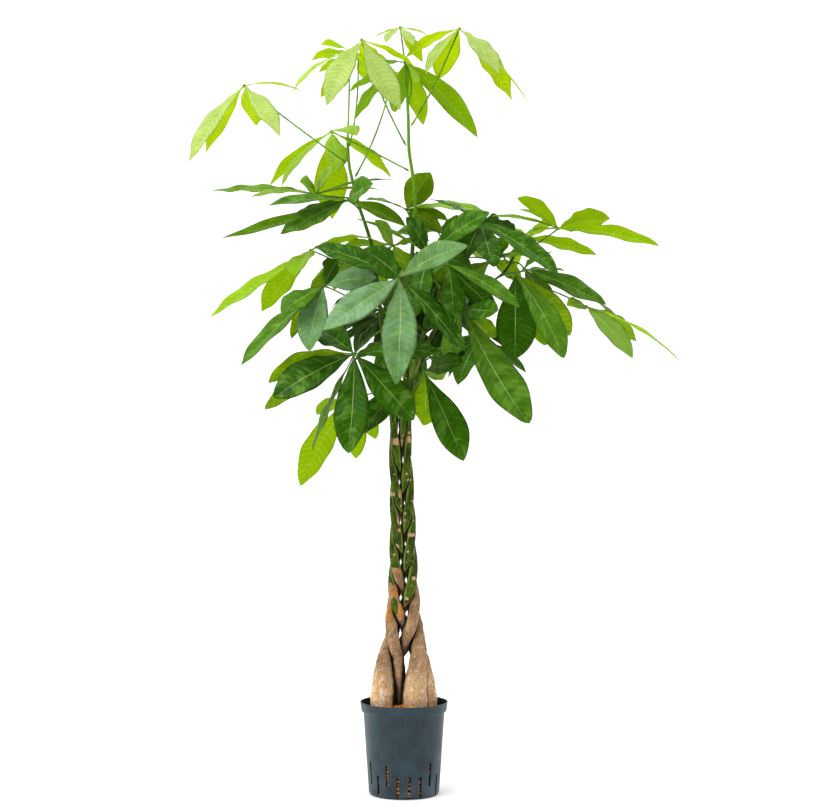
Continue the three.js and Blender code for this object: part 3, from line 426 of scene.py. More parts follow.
# Each trunk: its foot, how stout the foot is, the stem's radius at the tip, the height where brown
# bark gives way to green skin, and the way of its stem above the fork
TRUNKS = [
    ("trunk_back_right", (43, 12), 1, 3.2, 431,
     [(18, 38, 860), (50, 85, 980), (85, 125, 1060), (100, 140, 1100)]),
    ("trunk_right_shoot", (22, -24), 1, 3.4, 464,
     [(27, 2, 860), (57, 4, 945), (111, 4, 1005), (209, 0, 1068), (225, -2, 1101)]),
    ("trunk_right_tall", (-38, 30), 1, 3.0, 455,
     [(5, -10, 860), (14, -4, 1011), (17.6, 0, 1123), (23.6, 2, 1209), (19.7, 3, 1257),
      (10, 4, 1318), (9, 5, 1380), (6.6, 6, 1433)]),
    ("trunk_back_left", (-43, -16), 1, 3.2, 390,
     [(-22, 42, 860), (-45, 80, 980), (-66, 100, 1060), (-75, 108, 1120)]),
    ("trunk_left_tall", (-10, 8), 0.7, 3.0, 440,
     [(-32, -14, 860), (-51, -6, 1011), (-64, 0, 1119), (-80, 2, 1169), (-91, 3, 1199),
      (-105, 4, 1253), (-113, 5, 1287), (-116, 6, 1337)]),
]
TRUNK_FOOT = 62
APART_FROM = FORK + 60
ROUNDED_FROM, CORNER_REACH = BRAID_TOP - 12, 14.0
# The gap left between pressed trunks, and how soft the corner of a pressed flat is, as a share of a radius
PRESS_GAP, FLAT_CORNER = 0.8, 0.09
# The mesh has a row of points every so many mm, and so many points round
TRUNK_ROW, TRUNK_AROUND = 2.3, 44
SCAR_SPACING = (30, 80)

# Leaf scars on the bark as seen from the front: across, height, half width, half height
SCARS = [
    (-16, 721, 7.5, 8), (11, 739, 3, 4), (10, 725, 4, 7), (-3, 717, 3, 8), (-2, 734, 3, 2), (11, 643, 6, 3),
    (-24, 613, 6, 4), (-7, 616, 4, 10), (-9, 563, 5, 13), (3, 575, 2.2, 2.2), (2, 560, 2, 3), (-9, 541, 3, 4),
    (15, 531, 9, 4), (-5, 680, 2, 2), (14, 690, 2, 3), (-20, 655, 2, 2), (-14, 507, 4, 4), (8, 497, 3, 2),
    (-20, 490, 2.4, 3), (16, 477, 2, 3), (-27, 430, 3, 3), (20, 443, 4, 4), (15, 428, 2, 2), (6, 401, 4, 3),
    (-6, 590, 2, 2), (16, 600, 2, 2), (6, 656, 2, 2), (-12, 640, 1.6, 3), (19, 560, 1.6, 2.4),
]
# Peeled and green patches the same way, after the number of the trunk that each is on
PEELS = [
    (1, -10, 457, 10, 4), (0, -18, 413, 8, 11), (0, -6, 380, 8, 20), (4, -31, 377, 10, 19), (4, 7, 447, 6, 5),
    (2, 23, 450, 3, 6), (4, -30, 350, 6, 3),
]
GREENS = [(0, -20, 384, 8, 19)]


def braid_centre(index, height):
    """Where a trunk passes in the braid, which is a figure of eight seen from above."""
    turn = math.radians(along_list(BRAID_TURN, height) + BRAID_STEP * index)
    x = along_list(TRUNK_LEAN, height) + along_list(SWING_ACROSS, height) * math.cos(turn)
    return Vector((x, -along_list(SWING_DEEP, height) * math.sin(2 * turn)))


def trunk_centre(index, height):
    """The middle of a trunk at a height, with its foot below the braid and its own stem above it."""
    foot, stem = TRUNKS[index][1], TRUNKS[index][5]
    if height <= BRAID_TOP:
        sunk = smooth((BULB_TOP - height) / (BULB_TOP - BULB_FULL))
        return braid_centre(index, height).lerp(Vector(foot), sunk)
    route = [(BRAID_TOP, braid_centre(index, BRAID_TOP))] + [(z, Vector((x, y))) for x, y, z in stem]
    for i in range(1, len(route)):
        (low, a), (high, b) = route[i - 1], route[i]
        if height <= high or i == len(route) - 1:
            return a.lerp(b, min((height - low) / (high - low), 1.0))


def trunk_radius(index, height):
    stoutness, tip, top = TRUNKS[index][2], TRUNKS[index][3], TRUNKS[index][5][-1][2]
    if height <= FORK:
        braided = smooth((height - TURN_STOPS) / (STOUT_TO - TURN_STOPS))
        return along_list(TRUNK_RADIUS, height) * (stoutness + (1 - stoutness) * braided)
    share = math.sqrt(min((height - FORK) / (top - FORK), 1.0))
    return FORK_RADIUS + (tip - FORK_RADIUS) * share


def rounded_centre(index, height):
    """The same middle with the corners of the stem's route rounded off."""
    if height <= ROUNDED_FROM:
        return trunk_centre(index, height)
    reach = min(CORNER_REACH, TRUNKS[index][5][-1][2] - height)
    return (trunk_centre(index, height - reach) + trunk_centre(index, height) * 2
            + trunk_centre(index, height + reach)) / 4


def trunk(index):
    """One trunk from foot to tip, pressed flat on the others, with marks and painted shade as attributes."""
    name, green_from, stem = TRUNKS[index][0], TRUNKS[index][4], TRUNKS[index][5]
    draw = random.Random(100 + index)
    top = stem[-1][2]
    steps = int((top - TRUNK_FOOT) / TRUNK_ROW)
    levels = [TRUNK_FOOT + (top - TRUNK_FOOT) * i / steps for i in range(steps + 1)]
    middles = [[] for _ in TRUNKS]
    for height in levels:
        for k in range(len(TRUNKS)):
            if k == index or height < APART_FROM:
                middles[k].append((rounded_centre(k, height), trunk_radius(k, height)))

    # More scars sit here and there on the green part, towards the back and up the stem
    scars = []
    height = green_from + draw.uniform(0, 40)
    while height < top - 30:
        turn = draw.uniform(20, 160) if height < FORK - 60 else draw.uniform(0, 360)
        size = draw.uniform(0.25, 0.4) * trunk_radius(index, height)
        scars.append((height, math.radians(turn), size, size * draw.uniform(0.6, 1.2)))
        height += draw.uniform(*SCAR_SPACING)

    def is_front(level, x, y):
        """True where no other trunk passes in front, seen from the viewer's side."""
        for k in range(len(TRUNKS)):
            if k != index and level < len(middles[k]):
                other, other_radius = middles[k][level]
                aside = abs(x - other.x)
                if aside < other_radius and other.y - math.sqrt(other_radius ** 2 - aside ** 2) < y - 2:
                    return False
        return True

    def patch(spots, x, height):
        """How far inside one of the spots a point is: 1 at its middle, 0.5 on its rim, 0 outside."""
        return max((
            1 - smooth(math.hypot((x - across) / half_width, (height - up) / half_height) / 2)
            for across, up, half_width, half_height in spots
        ), default=0)

    marks = {}

    def place(u, t):
        """The point u round the trunk and t up it; what shows there goes into marks."""
        level = min(int(round(t * steps)), steps)
        height = levels[level]
        middle, radius = middles[index][level]
        angle = 2 * math.pi * u
        way = Vector((math.cos(angle), math.sin(angle)))
        out = radius
        shade_cast = 0.0
        for k in range(len(TRUNKS)):
            if k == index or level >= len(middles[k]):
                continue
            other, other_radius = middles[k][level]
            gap = other - middle

            # How much of the light another trunk takes from this point, by how near and wide it stands, to be
            # painted on the bark as shade
            outlook = gap - way * min(radius, gap.length - other_radius)
            shadow = max(way.dot(outlook) / outlook.length, 0) * (other_radius / outlook.length) ** 2
            shade_cast = min(shade_cast + shadow, 1.0)

            # Two trunks press flat against each other half way between their sides
            towards = way.dot(gap)
            if towards > 1e-3:
                wall = (gap.length_squared + radius ** 2 - other_radius ** 2) / (2 * towards) - PRESS_GAP
                soft = FLAT_CORNER * radius
                mix = max(soft - abs(wall - out), 0) / soft
                out = min(wall, out) - mix * mix * soft * 0.25
        out = max(out, 1.0)
        x, y = middle.x + way.x * out, middle.y + way.y * out

        # Bark has lumps about 9 mm across and 22 mm tall, and others a third of that, cork more than
        # green skin, and a leaf scar stands a little proud
        corky = 1 - smooth((height - green_from + 60) / 90)
        grain = noise.noise(Vector((x * 0.11, y * 0.11, height * 0.045)))
        lumps = noise.noise(Vector((x * 0.35, y * 0.35, height * 0.14 + index * 9)))
        out += (1.6 * grain + 0.9 * lumps) * (0.35 + 0.9 * corky) * min(radius / 14, 1.2)
        scar = 0.0
        for scar_height, scar_angle, wide, tall in scars:
            if abs(height - scar_height) < tall * 1.6:
                turn = math.atan2(math.sin(angle - scar_angle), math.cos(angle - scar_angle)) * radius
                far = math.hypot((height - scar_height) / tall, turn / wide)
                scar = max(scar, 1 - smooth((far - 0.5) / 0.9))
        out += 0.35 * scar
        if level in (0, steps):
            out = 0.0
        where = Vector((middle.x + way.x * out, middle.y + way.y * out, height)) * MM
        youth = smooth((height - green_from + 25) / 50)
        peel = 0.0
        if way.y < 0.15 and height < FORK and is_front(level, x, y):
            scar = max(scar, patch(SCARS, x, height))
            peel = patch([spot[1:] for spot in PEELS if spot[0] == index], x, height)
            greens = [spot[1:] for spot in GREENS if spot[0] == index]
            if greens:
                youth = max(youth, patch(greens, x, height))
        marks[tuple(round(c, 6) for c in where)] = (youth, peel, scar, shade_cast)
        return where

    bm = bmesh.new()
    bm.loops.layers.uv.new("UVMap")
    sleeve(bm, TRUNK_AROUND, steps, place)
    layers = [bm.verts.layers.float.new(name) for name in ("youth", "peel", "scar", "trunk_shade")]
    for vert in bm.verts:
        values = marks.get(tuple(round(c, 6) for c in vert.co), (1, 0, 0, 0))
        for layer, value in zip(layers, values):
            vert[layer] = value
    piece(name.replace("trunk", "bark"), bm, [BARK], [name])


for number in range(len(TRUNKS)):
    trunk(number)


# Pot: one wall turned from its outline, with slits and drain notches left open, then given its thickness

BASE_RADIUS, POT_WALL, WALL_LEAN = 72, 2, 0.07
SLIT_ROWS = "LLULULULULULLLULULUL"
SLIT_REACH = {"U": (25, 71), "L": (4, 46)}
SLIT_STEP, SLIT_HALF_ANGLE = 18, 2
NOTCH_ANGLES, NOTCH_HALF_ANGLE, NOTCH_HEIGHT, NOTCH_FROM = (-83, 37, 157), 8, 3.5, 67
POT_AROUND = 360
POT_OUTLINE = [
    (0, 0), (20, 0), (45, 0), (60, 0), (64, 0), (67.5, 0.6), (70.2, 2), (71.4, 3.5), (72, 5), (72.35, 8),
    (73.4, 25), (74, 33), (74.9, 46), (75.6, 58), (76.6, 71), (77.6, 85), (79.2, 110), (81.2, 140),
    (82.7, 161), (83.1, 166), (84, 168.2), (86, 169.2), (87.2, 170.2), (87.7, 172), (88.4, 178),
    (89.2, 184), (89.6, 187), (90, 188.6),
]


def pot():
    bm = bmesh.new()
    points = [bm.verts.new((r * MM, 0, z * MM)) for r, z in POT_OUTLINE]
    edges = [bm.edges.new(pair) for pair in zip(points, points[1:])]
    bmesh.ops.spin(bm, geom=points + edges, cent=(0, 0, 0), axis=(0, 0, 1), angle=2 * math.pi,
                   steps=POT_AROUND, use_merge=True)
    bmesh.ops.remove_doubles(bm, verts=bm.verts, dist=1e-6)
    holes = []
    for face in bm.faces:
        middle = face.calc_center_median() / MM
        angle = math.degrees(math.atan2(middle.y, middle.x))
        slit_number = (angle + 90) / SLIT_STEP - 0.5
        nearest = round(slit_number)
        low, high = SLIT_REACH[SLIT_ROWS[nearest % len(SLIT_ROWS)]]
        if abs(slit_number - nearest) * SLIT_STEP < SLIT_HALF_ANGLE and low < middle.z < high:
            holes.append(face)
        elif middle.z < NOTCH_HEIGHT and math.hypot(middle.x, middle.y) > NOTCH_FROM:
            if any(abs((angle - a + 180) % 360 - 180) < NOTCH_HALF_ANGLE for a in NOTCH_ANGLES):
                holes.append(face)
    bmesh.ops.delete(bm, geom=holes, context="FACES")
    bmesh.ops.recalc_face_normals(bm, faces=bm.faces)
    for face in bm.faces:
        face.smooth = True
    # The wall's inner side takes the finish with painted shade
    made = piece("nursery_pot", bm, [POLYPROPYLENE, INSIDE_SHADE], ["pot"])
    wall = made.modifiers.new("wall", "SOLIDIFY")
    wall.thickness = POT_WALL * MM
    wall.offset = -1
    wall.material_offset = 1
    soft = made.modifiers.new("soft edges", "BEVEL")
    soft.width = 0.7 * MM
    soft.segments = 2
    soft.limit_method = "ANGLE"
    soft.angle_limit = math.radians(50)


pot()


# Clay granulate: a filling with loose pebbles on its top and behind the slits

FILL_OUTLINE = [(0, 2.6), (60, 2.6), (66.5, 12), (75.5, 150), (74, 160), (0, 164)]
PEBBLES, PEBBLE_SIZE = 190, (3.6, 6.8)
GOLDEN_ANGLE = 137.508
FILL_AROUND = 64
HEAP_RADIUS, HEAP_LEVEL, HEAP_RISE = 74, 165, 16
INNER_RADIUS = 79.5
SLIT_PEBBLE_SIZE = (3.0, 4.6)


def granulate():
    draw = random.Random(7)
    bm = bmesh.new()
    points = [bm.verts.new((r * MM, 0, z * MM)) for r, z in FILL_OUTLINE]
    edges = [bm.edges.new(pair) for pair in zip(points, points[1:])]
    bmesh.ops.spin(bm, geom=points + edges, cent=(0, 0, 0), axis=(0, 0, 1), angle=2 * math.pi,
                   steps=FILL_AROUND, use_merge=True)
    bmesh.ops.remove_doubles(bm, verts=bm.verts, dist=1e-6)
    bmesh.ops.recalc_face_normals(bm, faces=bm.faces)
    # The filling's own surface takes the near-black finish, painted shade between the pebbles
    for face in bm.faces:
        face.material_index = 1

    # Pebbles heaped on top, evenly strewn by turning a golden angle from each to the next
    seats = []
    for i in range(PEBBLES):
        out = HEAP_RADIUS * math.sqrt((i + 0.5) / PEBBLES)
        angle = math.radians(GOLDEN_ANGLE * i)
        size = draw.uniform(*PEBBLE_SIZE)
        out = min(out, INNER_RADIUS - size)
        height = HEAP_LEVEL + HEAP_RISE * (1 - (out / HEAP_RADIUS) ** 2) + draw.uniform(-1.5, 3.5)
        seats.append((out * math.cos(angle), out * math.sin(angle), height, size))

    # Pebbles one above the other behind each slit
    for number, row in enumerate(SLIT_ROWS):
        low, high = SLIT_REACH[row]
        angle = math.radians((number + 0.5) * SLIT_STEP - 90)
        height = low + 2
        while height < high:
            size = draw.uniform(*SLIT_PEBBLE_SIZE)
            inner = BASE_RADIUS + (height - 8) * WALL_LEAN - POT_WALL
            out = inner - size - draw.uniform(0.1, 1.2)
            turn = angle + draw.uniform(-0.03, 0.03)
            seats.append((out * math.cos(turn), out * math.sin(turn), height, size))
            height += size * draw.uniform(1.7, 2.6)

    # Each pebble is a ball squashed and made uneven in its own way
    for x, y, z, size in seats:
        made = bmesh.ops.create_icosphere(bm, subdivisions=2, radius=size * MM)
        squash = Vector((draw.uniform(0.85, 1.1), draw.uniform(0.85, 1.1), draw.uniform(0.75, 1.0)))
        for vert in made["verts"]:
            rough = 1 + 0.22 * noise.noise(vert.co * 260 + Vector((x, y, z)))
            vert.co = vert.co * squash * rough + Vector((x, y, z)) * MM
    for face in bm.faces:
        face.smooth = True
    piece("clay_pebbles", bm, [CLAY, FILLING_SHADE], ["clay_granulate"])


granulate()


# Leaves. A hub is [across, up] as seen from EYE in the plane of the trunks, and its depth; the model's
# own leaf gives each leaflet's tip, width, turn and arch. The last word is the leaf's tone.

EYE = Vector((26.7, -3900, 794))
LEAVES = {
    "leaf_front_star": (-9, 1057, -170, PAINTED_SHEEN),
    "leaf_low_left": (-102, 901, -120, DARK),
    "leaf_right_low": (121, 994, -110, GROWN),
    "leaf_left_mid": (-163, 1040, -110, PAINTED_SHEEN),
    "leaf_right_front": (228, 1066, -70, GROWN),
    "leaf_centre_right": (88, 1085, -120, DARK),
    "leaf_centre_up": (49, 1105, -60, DARK),
    "leaf_mid_right": (158, 1171, -60, DARK),
    "leaf_low_right": (40, 865, -60, DARK),
    "leaf_left_upper": (-115, 1216, -60, GROWN),
    "leaf_left_arch": (-192, 1113, -30, SHOOT),
    "leaf_left_high": (-180, 1229, 10, LIGHT),
    "leaf_centre_high": (5, 1197, 40, LIGHT),
    "leaf_shoot_tip": (317, 1158, 0, SHOOT),
    "leaf_shoot_right": (246, 1076, 30, GROWN),
    "leaf_shoot_back": (252, 1140, 60, SHOOT),
    "leaf_far_right": (374, 998, 10, SHOOT),
    "leaf_crown_left": (-328, 1451, -60, NEWEST),
    "leaf_crown_mid_left": (-149, 1357, 50, CROWN),
    "leaf_crown_top_left": (-87, 1545, -50, NEWEST),
    "leaf_crown_top_right": (114, 1568, -20, NEWEST),
    "leaf_crown_right": (3, 1498, 20, INNER),
    "leaf_crown_tip": (-8, 1570, 0, NEWEST),
    "leaf_crown_inner": (-23, 1482, 50, INNER),
    "leaf_crown_back_left": (-111, 1523, 30, CROWN),
    "leaf_crown_back_mid": (-94, 1507, 80, CROWN),
    "leaf_inner_left": (-22, 1123, 20, LIGHT),
    "leaf_centre_rear": (70, 1152, 130, GROWN),
    "leaf_behind_right": (178, 1092, 85, LIGHT),
    "leaf_low_hanging": (-109, 806, 0, SHOOT),
}
# Leaves whose leaflets differ in tone, in turn from the one that points left, by down, right and up
MIXED_TONES = {
    "leaf_front_star": (PAINTED_SHEEN, PAINTED_SHEEN, DARK, FAINT_SHEEN, DARK, DARK),
    "leaf_low_left": (LIGHT, DARK, LIGHT, GROWN, DARK, DARK, DARK, DARK, DARK),
    "leaf_left_mid": (GROWN, GROWN, LIGHT, PAINTED_SHEEN, PAINTED_SHEEN, DARK),
    "leaf_right_low": (DARK, GROWN, GROWN, LIGHT, DARK, DARK),
    "leaf_left_arch": (LIGHT,),
    "leaf_far_right": (FAINT_SHEEN, FAINT_SHEEN, LIGHT),
    "leaf_crown_inner": (SHOOT, GROWN, SHOOT, INNER),
    "leaf_crown_right": (SHOOT, SHOOT, INNER, INNER),
    "leaf_right_front": (DARK, LIGHT, GROWN, LIGHT, GROWN),
    "leaf_centre_right": (DARK, DARK, DARK, GROWN),
    "leaf_centre_up": (DARK, DARK, DARK, DARK, GROWN),
    "leaf_low_right": (DARK, LIGHT, DARK, LIGHT, DARK),
}
# The rear leaves are strewn over a room, across, up and deep, by steps that spread them evenly
REAR_LEAVES = 11
REAR_ROOM = [(-115, 175), (900, 1125), (120, 250)]
SCATTER_STEPS = (0.618, 0.7549, 0.5698)
# In the model's own leaf: how far along a leaflet its first wide corners are, how much wider its outline
# is drawn than the half width says, how near the hub corners are left out, and how near each other those
# of a stalk's end are
FRONT_STATION, REAR_STATION = 0.4, 0.6
BLADE_FULLNESS = 1.1
HUB_CUT, STALK_END = 8.0, 7.0
# In the finished leaf: the blade's fold along its midrib, and half its thickness
BLADE_FOLD, BLADE_HALF = 0.22, 0.35
# A leaf's form: its blades are widest further from the hub as the first number grows, and blunter as the
# second shrinks; between hub and tip they bow to the right and up by the last two, as shares of their
# length. A leaf that isn't named is PLAIN or NEW.
PLAIN, NEW = (1.1, 0.84, 0, 0), (1.25, 0.98, 0, 0.005)
FORMS = {
    "leaf_front_star": (1.15, 0.86, 0, 0),
    "leaf_low_left": (1.45, 0.72, 0, 0),
    "leaf_left_mid": (1.4, 0.84, 0, 0),
    "leaf_right_low": (1.45, 0.7, 0, -0.04),
    "leaf_low_right": (1.55, 0.8, 0, 0),
    "leaf_right_front": (1.45, 0.66, 0, 0),
    "leaf_centre_right": (1.3, 0.76, 0, 0),
    "leaf_centre_up": (1.3, 0.76, 0, 0),
    "leaf_mid_right": (1.25, 0.75, 0, 0),
    "leaf_left_arch": (1.3, 0.9, 0, 0.005),
    "leaf_left_upper": (1.15, 0.92, 0, 0.005),
    "leaf_low_hanging": (1.3, 0.75, 0, 0),
    "leaf_shoot_tip": (1.12, 0.82, 0, 0),
    "leaf_crown_inner": (1.3, 0.7, 0, 0),
    "leaf_crown_back_left": (1.2, 1.5, 0, 0),
    "leaf_crown_left": (1.25, 1.05, 0, 0.02),
    "leaf_crown_top_right": (1.25, 0.95, -0.01, 0),
}
QUILT_MM, QUILT_LIFT = 17, 1.5
LEAFLET_ROWS, LEAFLET_COLUMNS = 52, 10
STALK_RADIUS, STALK_AROUND, STALK_ROWS = 1.85, 10, 30
KNOB_RADIUS = 3.4


def sight(across, up, depth):
    """Where a point seen at [across, up] in the plane of the trunks lies at its own depth."""
    scale = (depth - EYE.y) / -EYE.y
    return Vector((EYE.x + (across - EYE.x) * scale, depth, EYE.z + (up - EYE.z) * scale))


def blade_outline(t):
    """Share of the full width along a blade of the model's own leaf."""
    return math.sin(math.pi * min(t, 1.0) ** 1.3)


def islands(bm):
    """The parts of a mesh that hang together, as lists of points."""
    left = set(bm.verts)
    while left:
        reached = [left.pop()]
        for vert in reached:
            for edge in vert.link_edges:
                other = edge.other_vert(vert)
                if other in left:
                    left.remove(other)
                    reached.append(other)
        yield [vert.co / MM for vert in reached]


def read_leaf(node, hub, station):
    """The stalk's foot and bend, and each leaflet's chord, side, face, half width and arch, read from
    the corners of the model's own leaf."""
    bm = bmesh.new()
    bm.from_mesh(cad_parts[node].data)
    bmesh.ops.remove_doubles(bm, verts=bm.verts, dist=1e-6)
    near = [vert for vert in bm.verts if (vert.co / MM - hub).length < HUB_CUT]
    bmesh.ops.delete(bm, geom=near, context="VERTS")
    foot = bend = None
    leaflets = []
    for points in islands(bm):
        # A stalk ends in a ring of corners, a leaflet in a point
        far = max(points, key=lambda p: (p - hub).length)
        beside = [p for p in points if (p - far).length < STALK_END]
        if len(beside) > 2:
            foot = sum(beside, Vector()) / len(beside)
            others = sorted((p for p in points if p not in beside), key=lambda p: (p - foot).length)[:4]
            if len(others) == 4:
                # The next ring is a third of the way up, which gives the curve's middle point
                third = sum(others, Vector()) / 4
                bend = (third * 9 - foot * 4 - hub) / 4
            continue
        chord = far - hub
        length = chord.length
        way = chord / length
        corners = [p for p in points if abs((p - hub).dot(way) / length - station) < 0.1]
        if len(corners) < 4:
            continue
        pairs = ((a, b) for a in corners for b in corners)
        left, right = max(pairs, key=lambda pair: (pair[0] - pair[1]).length)
        spine = [p for p in corners if p not in (left, right)]
        middle = sum(spine, Vector()) / len(spine)
        side = right - left
        side = (side - way * side.dot(way)).normalized()
        face = side.cross(way)
        if face.dot((left + right) / 2 - middle) < 0:
            side, face = -side, -face
        half = (right - left).length / 2 / (BLADE_FULLNESS * blade_outline(station))
        arch = (middle - hub).dot(face) / (length * 4 * station * (1 - station))
        leaflets.append((chord, side, face, half, arch))
    bm.free()
    leaflets.sort(key=lambda parts: math.atan2(parts[0].z, parts[0].x))
    return foot, bend, leaflets


def leaflet(bm, hub, chord, side, face, half, arch, tone, form, draw):
    """One blade: folded along its midrib, arched, waved along its margins and closed all round."""
    length = chord.length
    way = chord / length
    # What makes this blade differ from the next
    shade = draw.randrange(SHADES)
    waves = draw.uniform(2.2, 4.2)
    wave_start = [draw.uniform(0, 2 * math.pi) for _ in range(2)]
    wave_depth = draw.uniform(0.8, 2.4) * min(half / 25, 1.2)
    twist = math.radians(draw.uniform(-9, 9))
    sway = draw.uniform(-0.025, 0.025)
    fold = BLADE_FOLD * draw.uniform(0.7, 1.25)
    fullest, square = form[0] * draw.uniform(0.93, 1.07), form[1] * draw.uniform(0.94, 1.06)
    bow = Vector((form[2], 0, form[3])) * length
    quilt = draw.uniform(0, 90)
    rows = {}

    def row(t):
        """The blade's middle line at t, its two directions there, half width and share of neck."""
        key = round(t, 4)
        if key not in rows:
            slope = arch * 4 * (1 - 2 * t)
            middle = hub + chord * t + (face * arch * length + side * sway * length + bow) * (4 * t * (1 - t))
            up = (face - way * slope).normalized()
            turn = twist * (t - 0.3)
            tilted = side * math.cos(turn) + up * math.sin(turn)
            lifted = up * math.cos(turn) - side * math.sin(turn)
            blade = max((t - 0.025) / 0.975, 0)
            width = max(half * math.sin(math.pi * min(blade, 0.9999) ** fullest) ** square, 1.2)
            if t > 0.999:
                width = 0
            neck = 1 - smooth((t - 0.02) / 0.1)
            rows[key] = (middle, tilted, lifted, width, neck)
        return rows[key]

    def place(u, t):
        upper = u <= 0.5
        across = 4 * u - 1 if upper else 3 - 4 * u
        middle, tilted, lifted, width, neck = row(t)
        # The sides stand off the blade's middle sheet, more at the neck and, below, along the midrib
        bulge = (1 - across ** 4) * (BLADE_HALF + 0.9 * neck)
        rib = math.exp(-(across * width / 1.6) ** 2) * (1 - t) * 0.9
        # The sheet is folded up along the midrib, waved at its margins, veined and lumpy between them
        margin = abs(across)
        wave = wave_depth * margin ** 2 * math.sin(2 * math.pi * waves * t + wave_start[across > 0])
        wave *= min(width / 12, 1)
        lift = width * fold * (1.5 * margin - 0.6 * margin ** 2.5) + wave
        veins = math.cos(2 * math.pi * VEIN_ROWS * (t - VEIN_LEAN * margin ** VEIN_BEND))
        lift -= 0.08 * veins * min(width / 15, 1) * (1 - margin ** 3)
        lumps = noise.noise(Vector((across * width / QUILT_MM, t * length / QUILT_MM, quilt)))
        lift += QUILT_LIFT * lumps * min(width / 15, 1) * (1 - margin ** 4)
        lift += bulge if upper else -bulge - rib
        return (middle + tilted * (across * width) + lifted * lift) * MM

    # Each half of the way round is one side of the blade with its own finish. Both sides have the same
    # UVs, across the blade and along it.
    faces = sleeve(bm, 2 * LEAFLET_COLUMNS, LEAFLET_ROWS, place)
    uv = bm.loops.layers.uv.verify()
    for made in faces:
        middle_u = sum(loop[uv].uv.x for loop in made.loops) / len(made.loops)
        upper = middle_u < 0.5
        made.material_index = UPPER if upper else UNDER
        for loop in made.loops:
            u, t = loop[uv].uv
            across = 4 * u - 1 if upper else 3 - 4 * u
            loop[uv].uv = (tone + 0.5 + UV_MARGIN * across, shade + 0.01 + 0.98 * t)


def leaf(node, hub, station, tone):
    """One leaf: its blades, its stalk and the knob where they meet."""
    draw = random.Random(node)
    foot, bend, leaflets = read_leaf(node, hub, station)
    bm = bmesh.new()
    bm.loops.layers.uv.new("UVMap")
    form = FORMS.get(node, NEW if tone >= CROWN else PLAIN)
    tones = MIXED_TONES.get(node, (tone,))
    for i, (chord, side, face, half, arch) in enumerate(leaflets):
        leaflet(bm, hub, chord, side, face, half, arch, tones[i % len(tones)], form, draw)
    if foot is not None:
        bend = bend or foot.lerp(hub, 0.5)

        def line(t):
            spot = foot * (1 - t) ** 2 + bend * (2 * t * (1 - t)) + hub * t ** 2
            way = ((bend - foot) * (1 - t) + (hub - bend) * t).normalized()
            return spot * MM, way

        def radius(t):
            if t in (0, 1):
                return 0.0
            swell = 1.1 * math.exp(-(t / 0.05) ** 2) + 0.9 * math.exp(-((1 - t) / 0.04) ** 2)
            return (STALK_RADIUS - 0.3 * t + swell) * MM

        rod(bm, line, radius, STALK_AROUND, STALK_ROWS, STALK)
    knob = bmesh.ops.create_icosphere(bm, subdivisions=3, radius=KNOB_RADIUS * MM)
    for vert in knob["verts"]:
        vert.co += hub * MM
    for made in {face for vert in knob["verts"] for face in vert.link_faces}:
        made.material_index = STALK
        made.smooth = True
    skins = YOUNG_SKINS if tone >= SHOOT else GROWN_SKINS
    piece(node.replace("leaf", "foliage"), bm, skins, [node])


for name, (across, up, depth, tone) in LEAVES.items():
    leaf(name, sight(across, up, depth), FRONT_STATION, tone)
for number in range(REAR_LEAVES):
    spot = [
        low + (high - low) * ((number + 0.5) * step % 1)
        for (low, high), step in zip(REAR_ROOM, SCATTER_STEPS)
    ]
    # Some rear leaves take the tone of painted deep shade
    leaf(f"leaf_rear_{number + 1:02d}", sight(*spot), REAR_STATION, (DEEP_SHADE, DARK, LIGHT, DEEP_SHADE)[number % 4])


# Stage: white floor and backdrop, soft light from above, in front and the left. Its own lengths are in
# metres. Each softbox has its place, its side and its power in watts.

FLOOR_HALF = 8
PHOTO_WIDTH, FOCAL_PIXELS, SENSOR_MM = 834, 1901.5, 36
SOFTBOXES = (
    ("softbox_top", (-0.7, -1.2, 3.4), 1.4, 50),
    ("softbox_left", (-2.6, -1.6, 2.2), 1.0, 30),
)
LIT_HEIGHT = 1.0


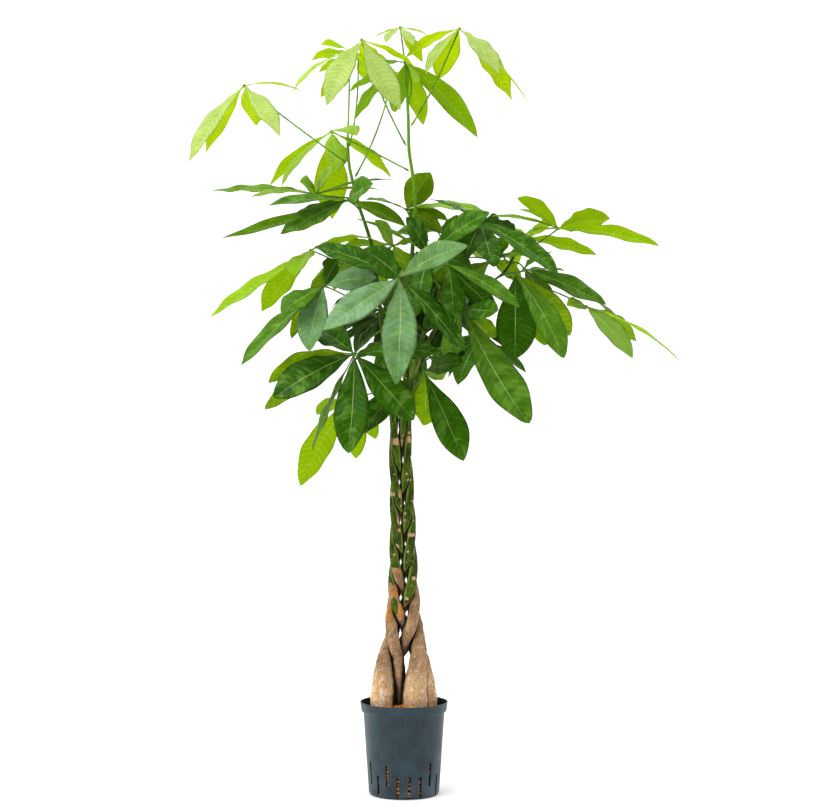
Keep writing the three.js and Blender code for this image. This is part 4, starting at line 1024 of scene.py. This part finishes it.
def studio_floor():
    made, tree, surface = material("studio_paper")
    tree.links.new(add(tree, "BsdfPrincipled", {"Base Color": "#ffffff", "Roughness": 0.9}), surface)
    bm = bmesh.new()
    bmesh.ops.create_grid(bm, x_segments=1, y_segments=1, size=FLOOR_HALF)
    mesh = bpy.data.meshes.new("studio_floor")
    bm.to_mesh(mesh)
    bm.free()
    mesh.materials.append(made)
    floor = bpy.data.objects.new("studio_floor", mesh)
    bpy.context.scene.collection.objects.link(floor)


# White all round, as a light tent gives it, and dimmer from where the photographer stands. The camera
# sees a fine grain above full white, and so the render's noise filter leaves no specks on the leaves.
def light_tent():
    world = bpy.data.worlds.new("light_tent")
    bpy.context.scene.world = world
    world.use_nodes = True
    tree = world.node_tree
    outward = add(tree, "TexCoord", output="Generated")
    dim = add(tree, "MapRange", {
        0: add(tree, "SeparateXYZ", {0: outward}, "Y"), 1: -0.9, 2: 0.4, 3: 0.2, 4: 1.3}, **SMOOTHLY)
    raised = add(tree, "MapRange", {
        0: add(tree, "SeparateXYZ", {0: outward}, "Z"), 1: 0.1, 2: 0.9, 4: 0.4}, **SMOOTHLY)
    tent = add(tree, "Math", {0: dim, 1: raised}, operation="ADD")
    grain = add(tree, "TexWhiteNoise", {0: outward})
    paper = add(tree, "Math", {0: grain, 1: 0.6, 2: 1.0}, operation="MULTIPLY_ADD")
    seen = add(tree, "LightPath", output="Is Camera Ray")
    sky = tree.nodes["Background"]
    sky.inputs["Color"].default_value = linear("#ffffff")
    tree.links.new(add(tree, "Mix", {0: seen, 2: tent, 3: paper}, data_type="FLOAT"), sky.inputs["Strength"])
    bpy.context.scene.view_settings.view_transform = "Standard"


def softboxes():
    for name, place, size, power in SOFTBOXES:
        lamp = bpy.data.lights.new(name, "AREA")
        lamp.size = size
        lamp.energy = power
        made = bpy.data.objects.new(name, lamp)
        made.location = place
        aim = Vector((0, 0, LIT_HEIGHT)) - Vector(place)
        made.rotation_euler = aim.to_track_quat("-Z", "Y").to_euler()
        bpy.context.scene.collection.objects.link(made)


def camera():
    lens = bpy.data.cameras.new("camera")
    lens.sensor_width = SENSOR_MM
    lens.lens = FOCAL_PIXELS / PHOTO_WIDTH * SENSOR_MM
    lens.clip_end = 30
    made = bpy.data.objects.new("camera", lens)
    made.location = EYE * MM
    made.rotation_euler = (math.pi / 2, 0, 0)
    bpy.context.scene.collection.objects.link(made)
    bpy.context.scene.camera = made


studio_floor()
light_tent()
softboxes()
camera()
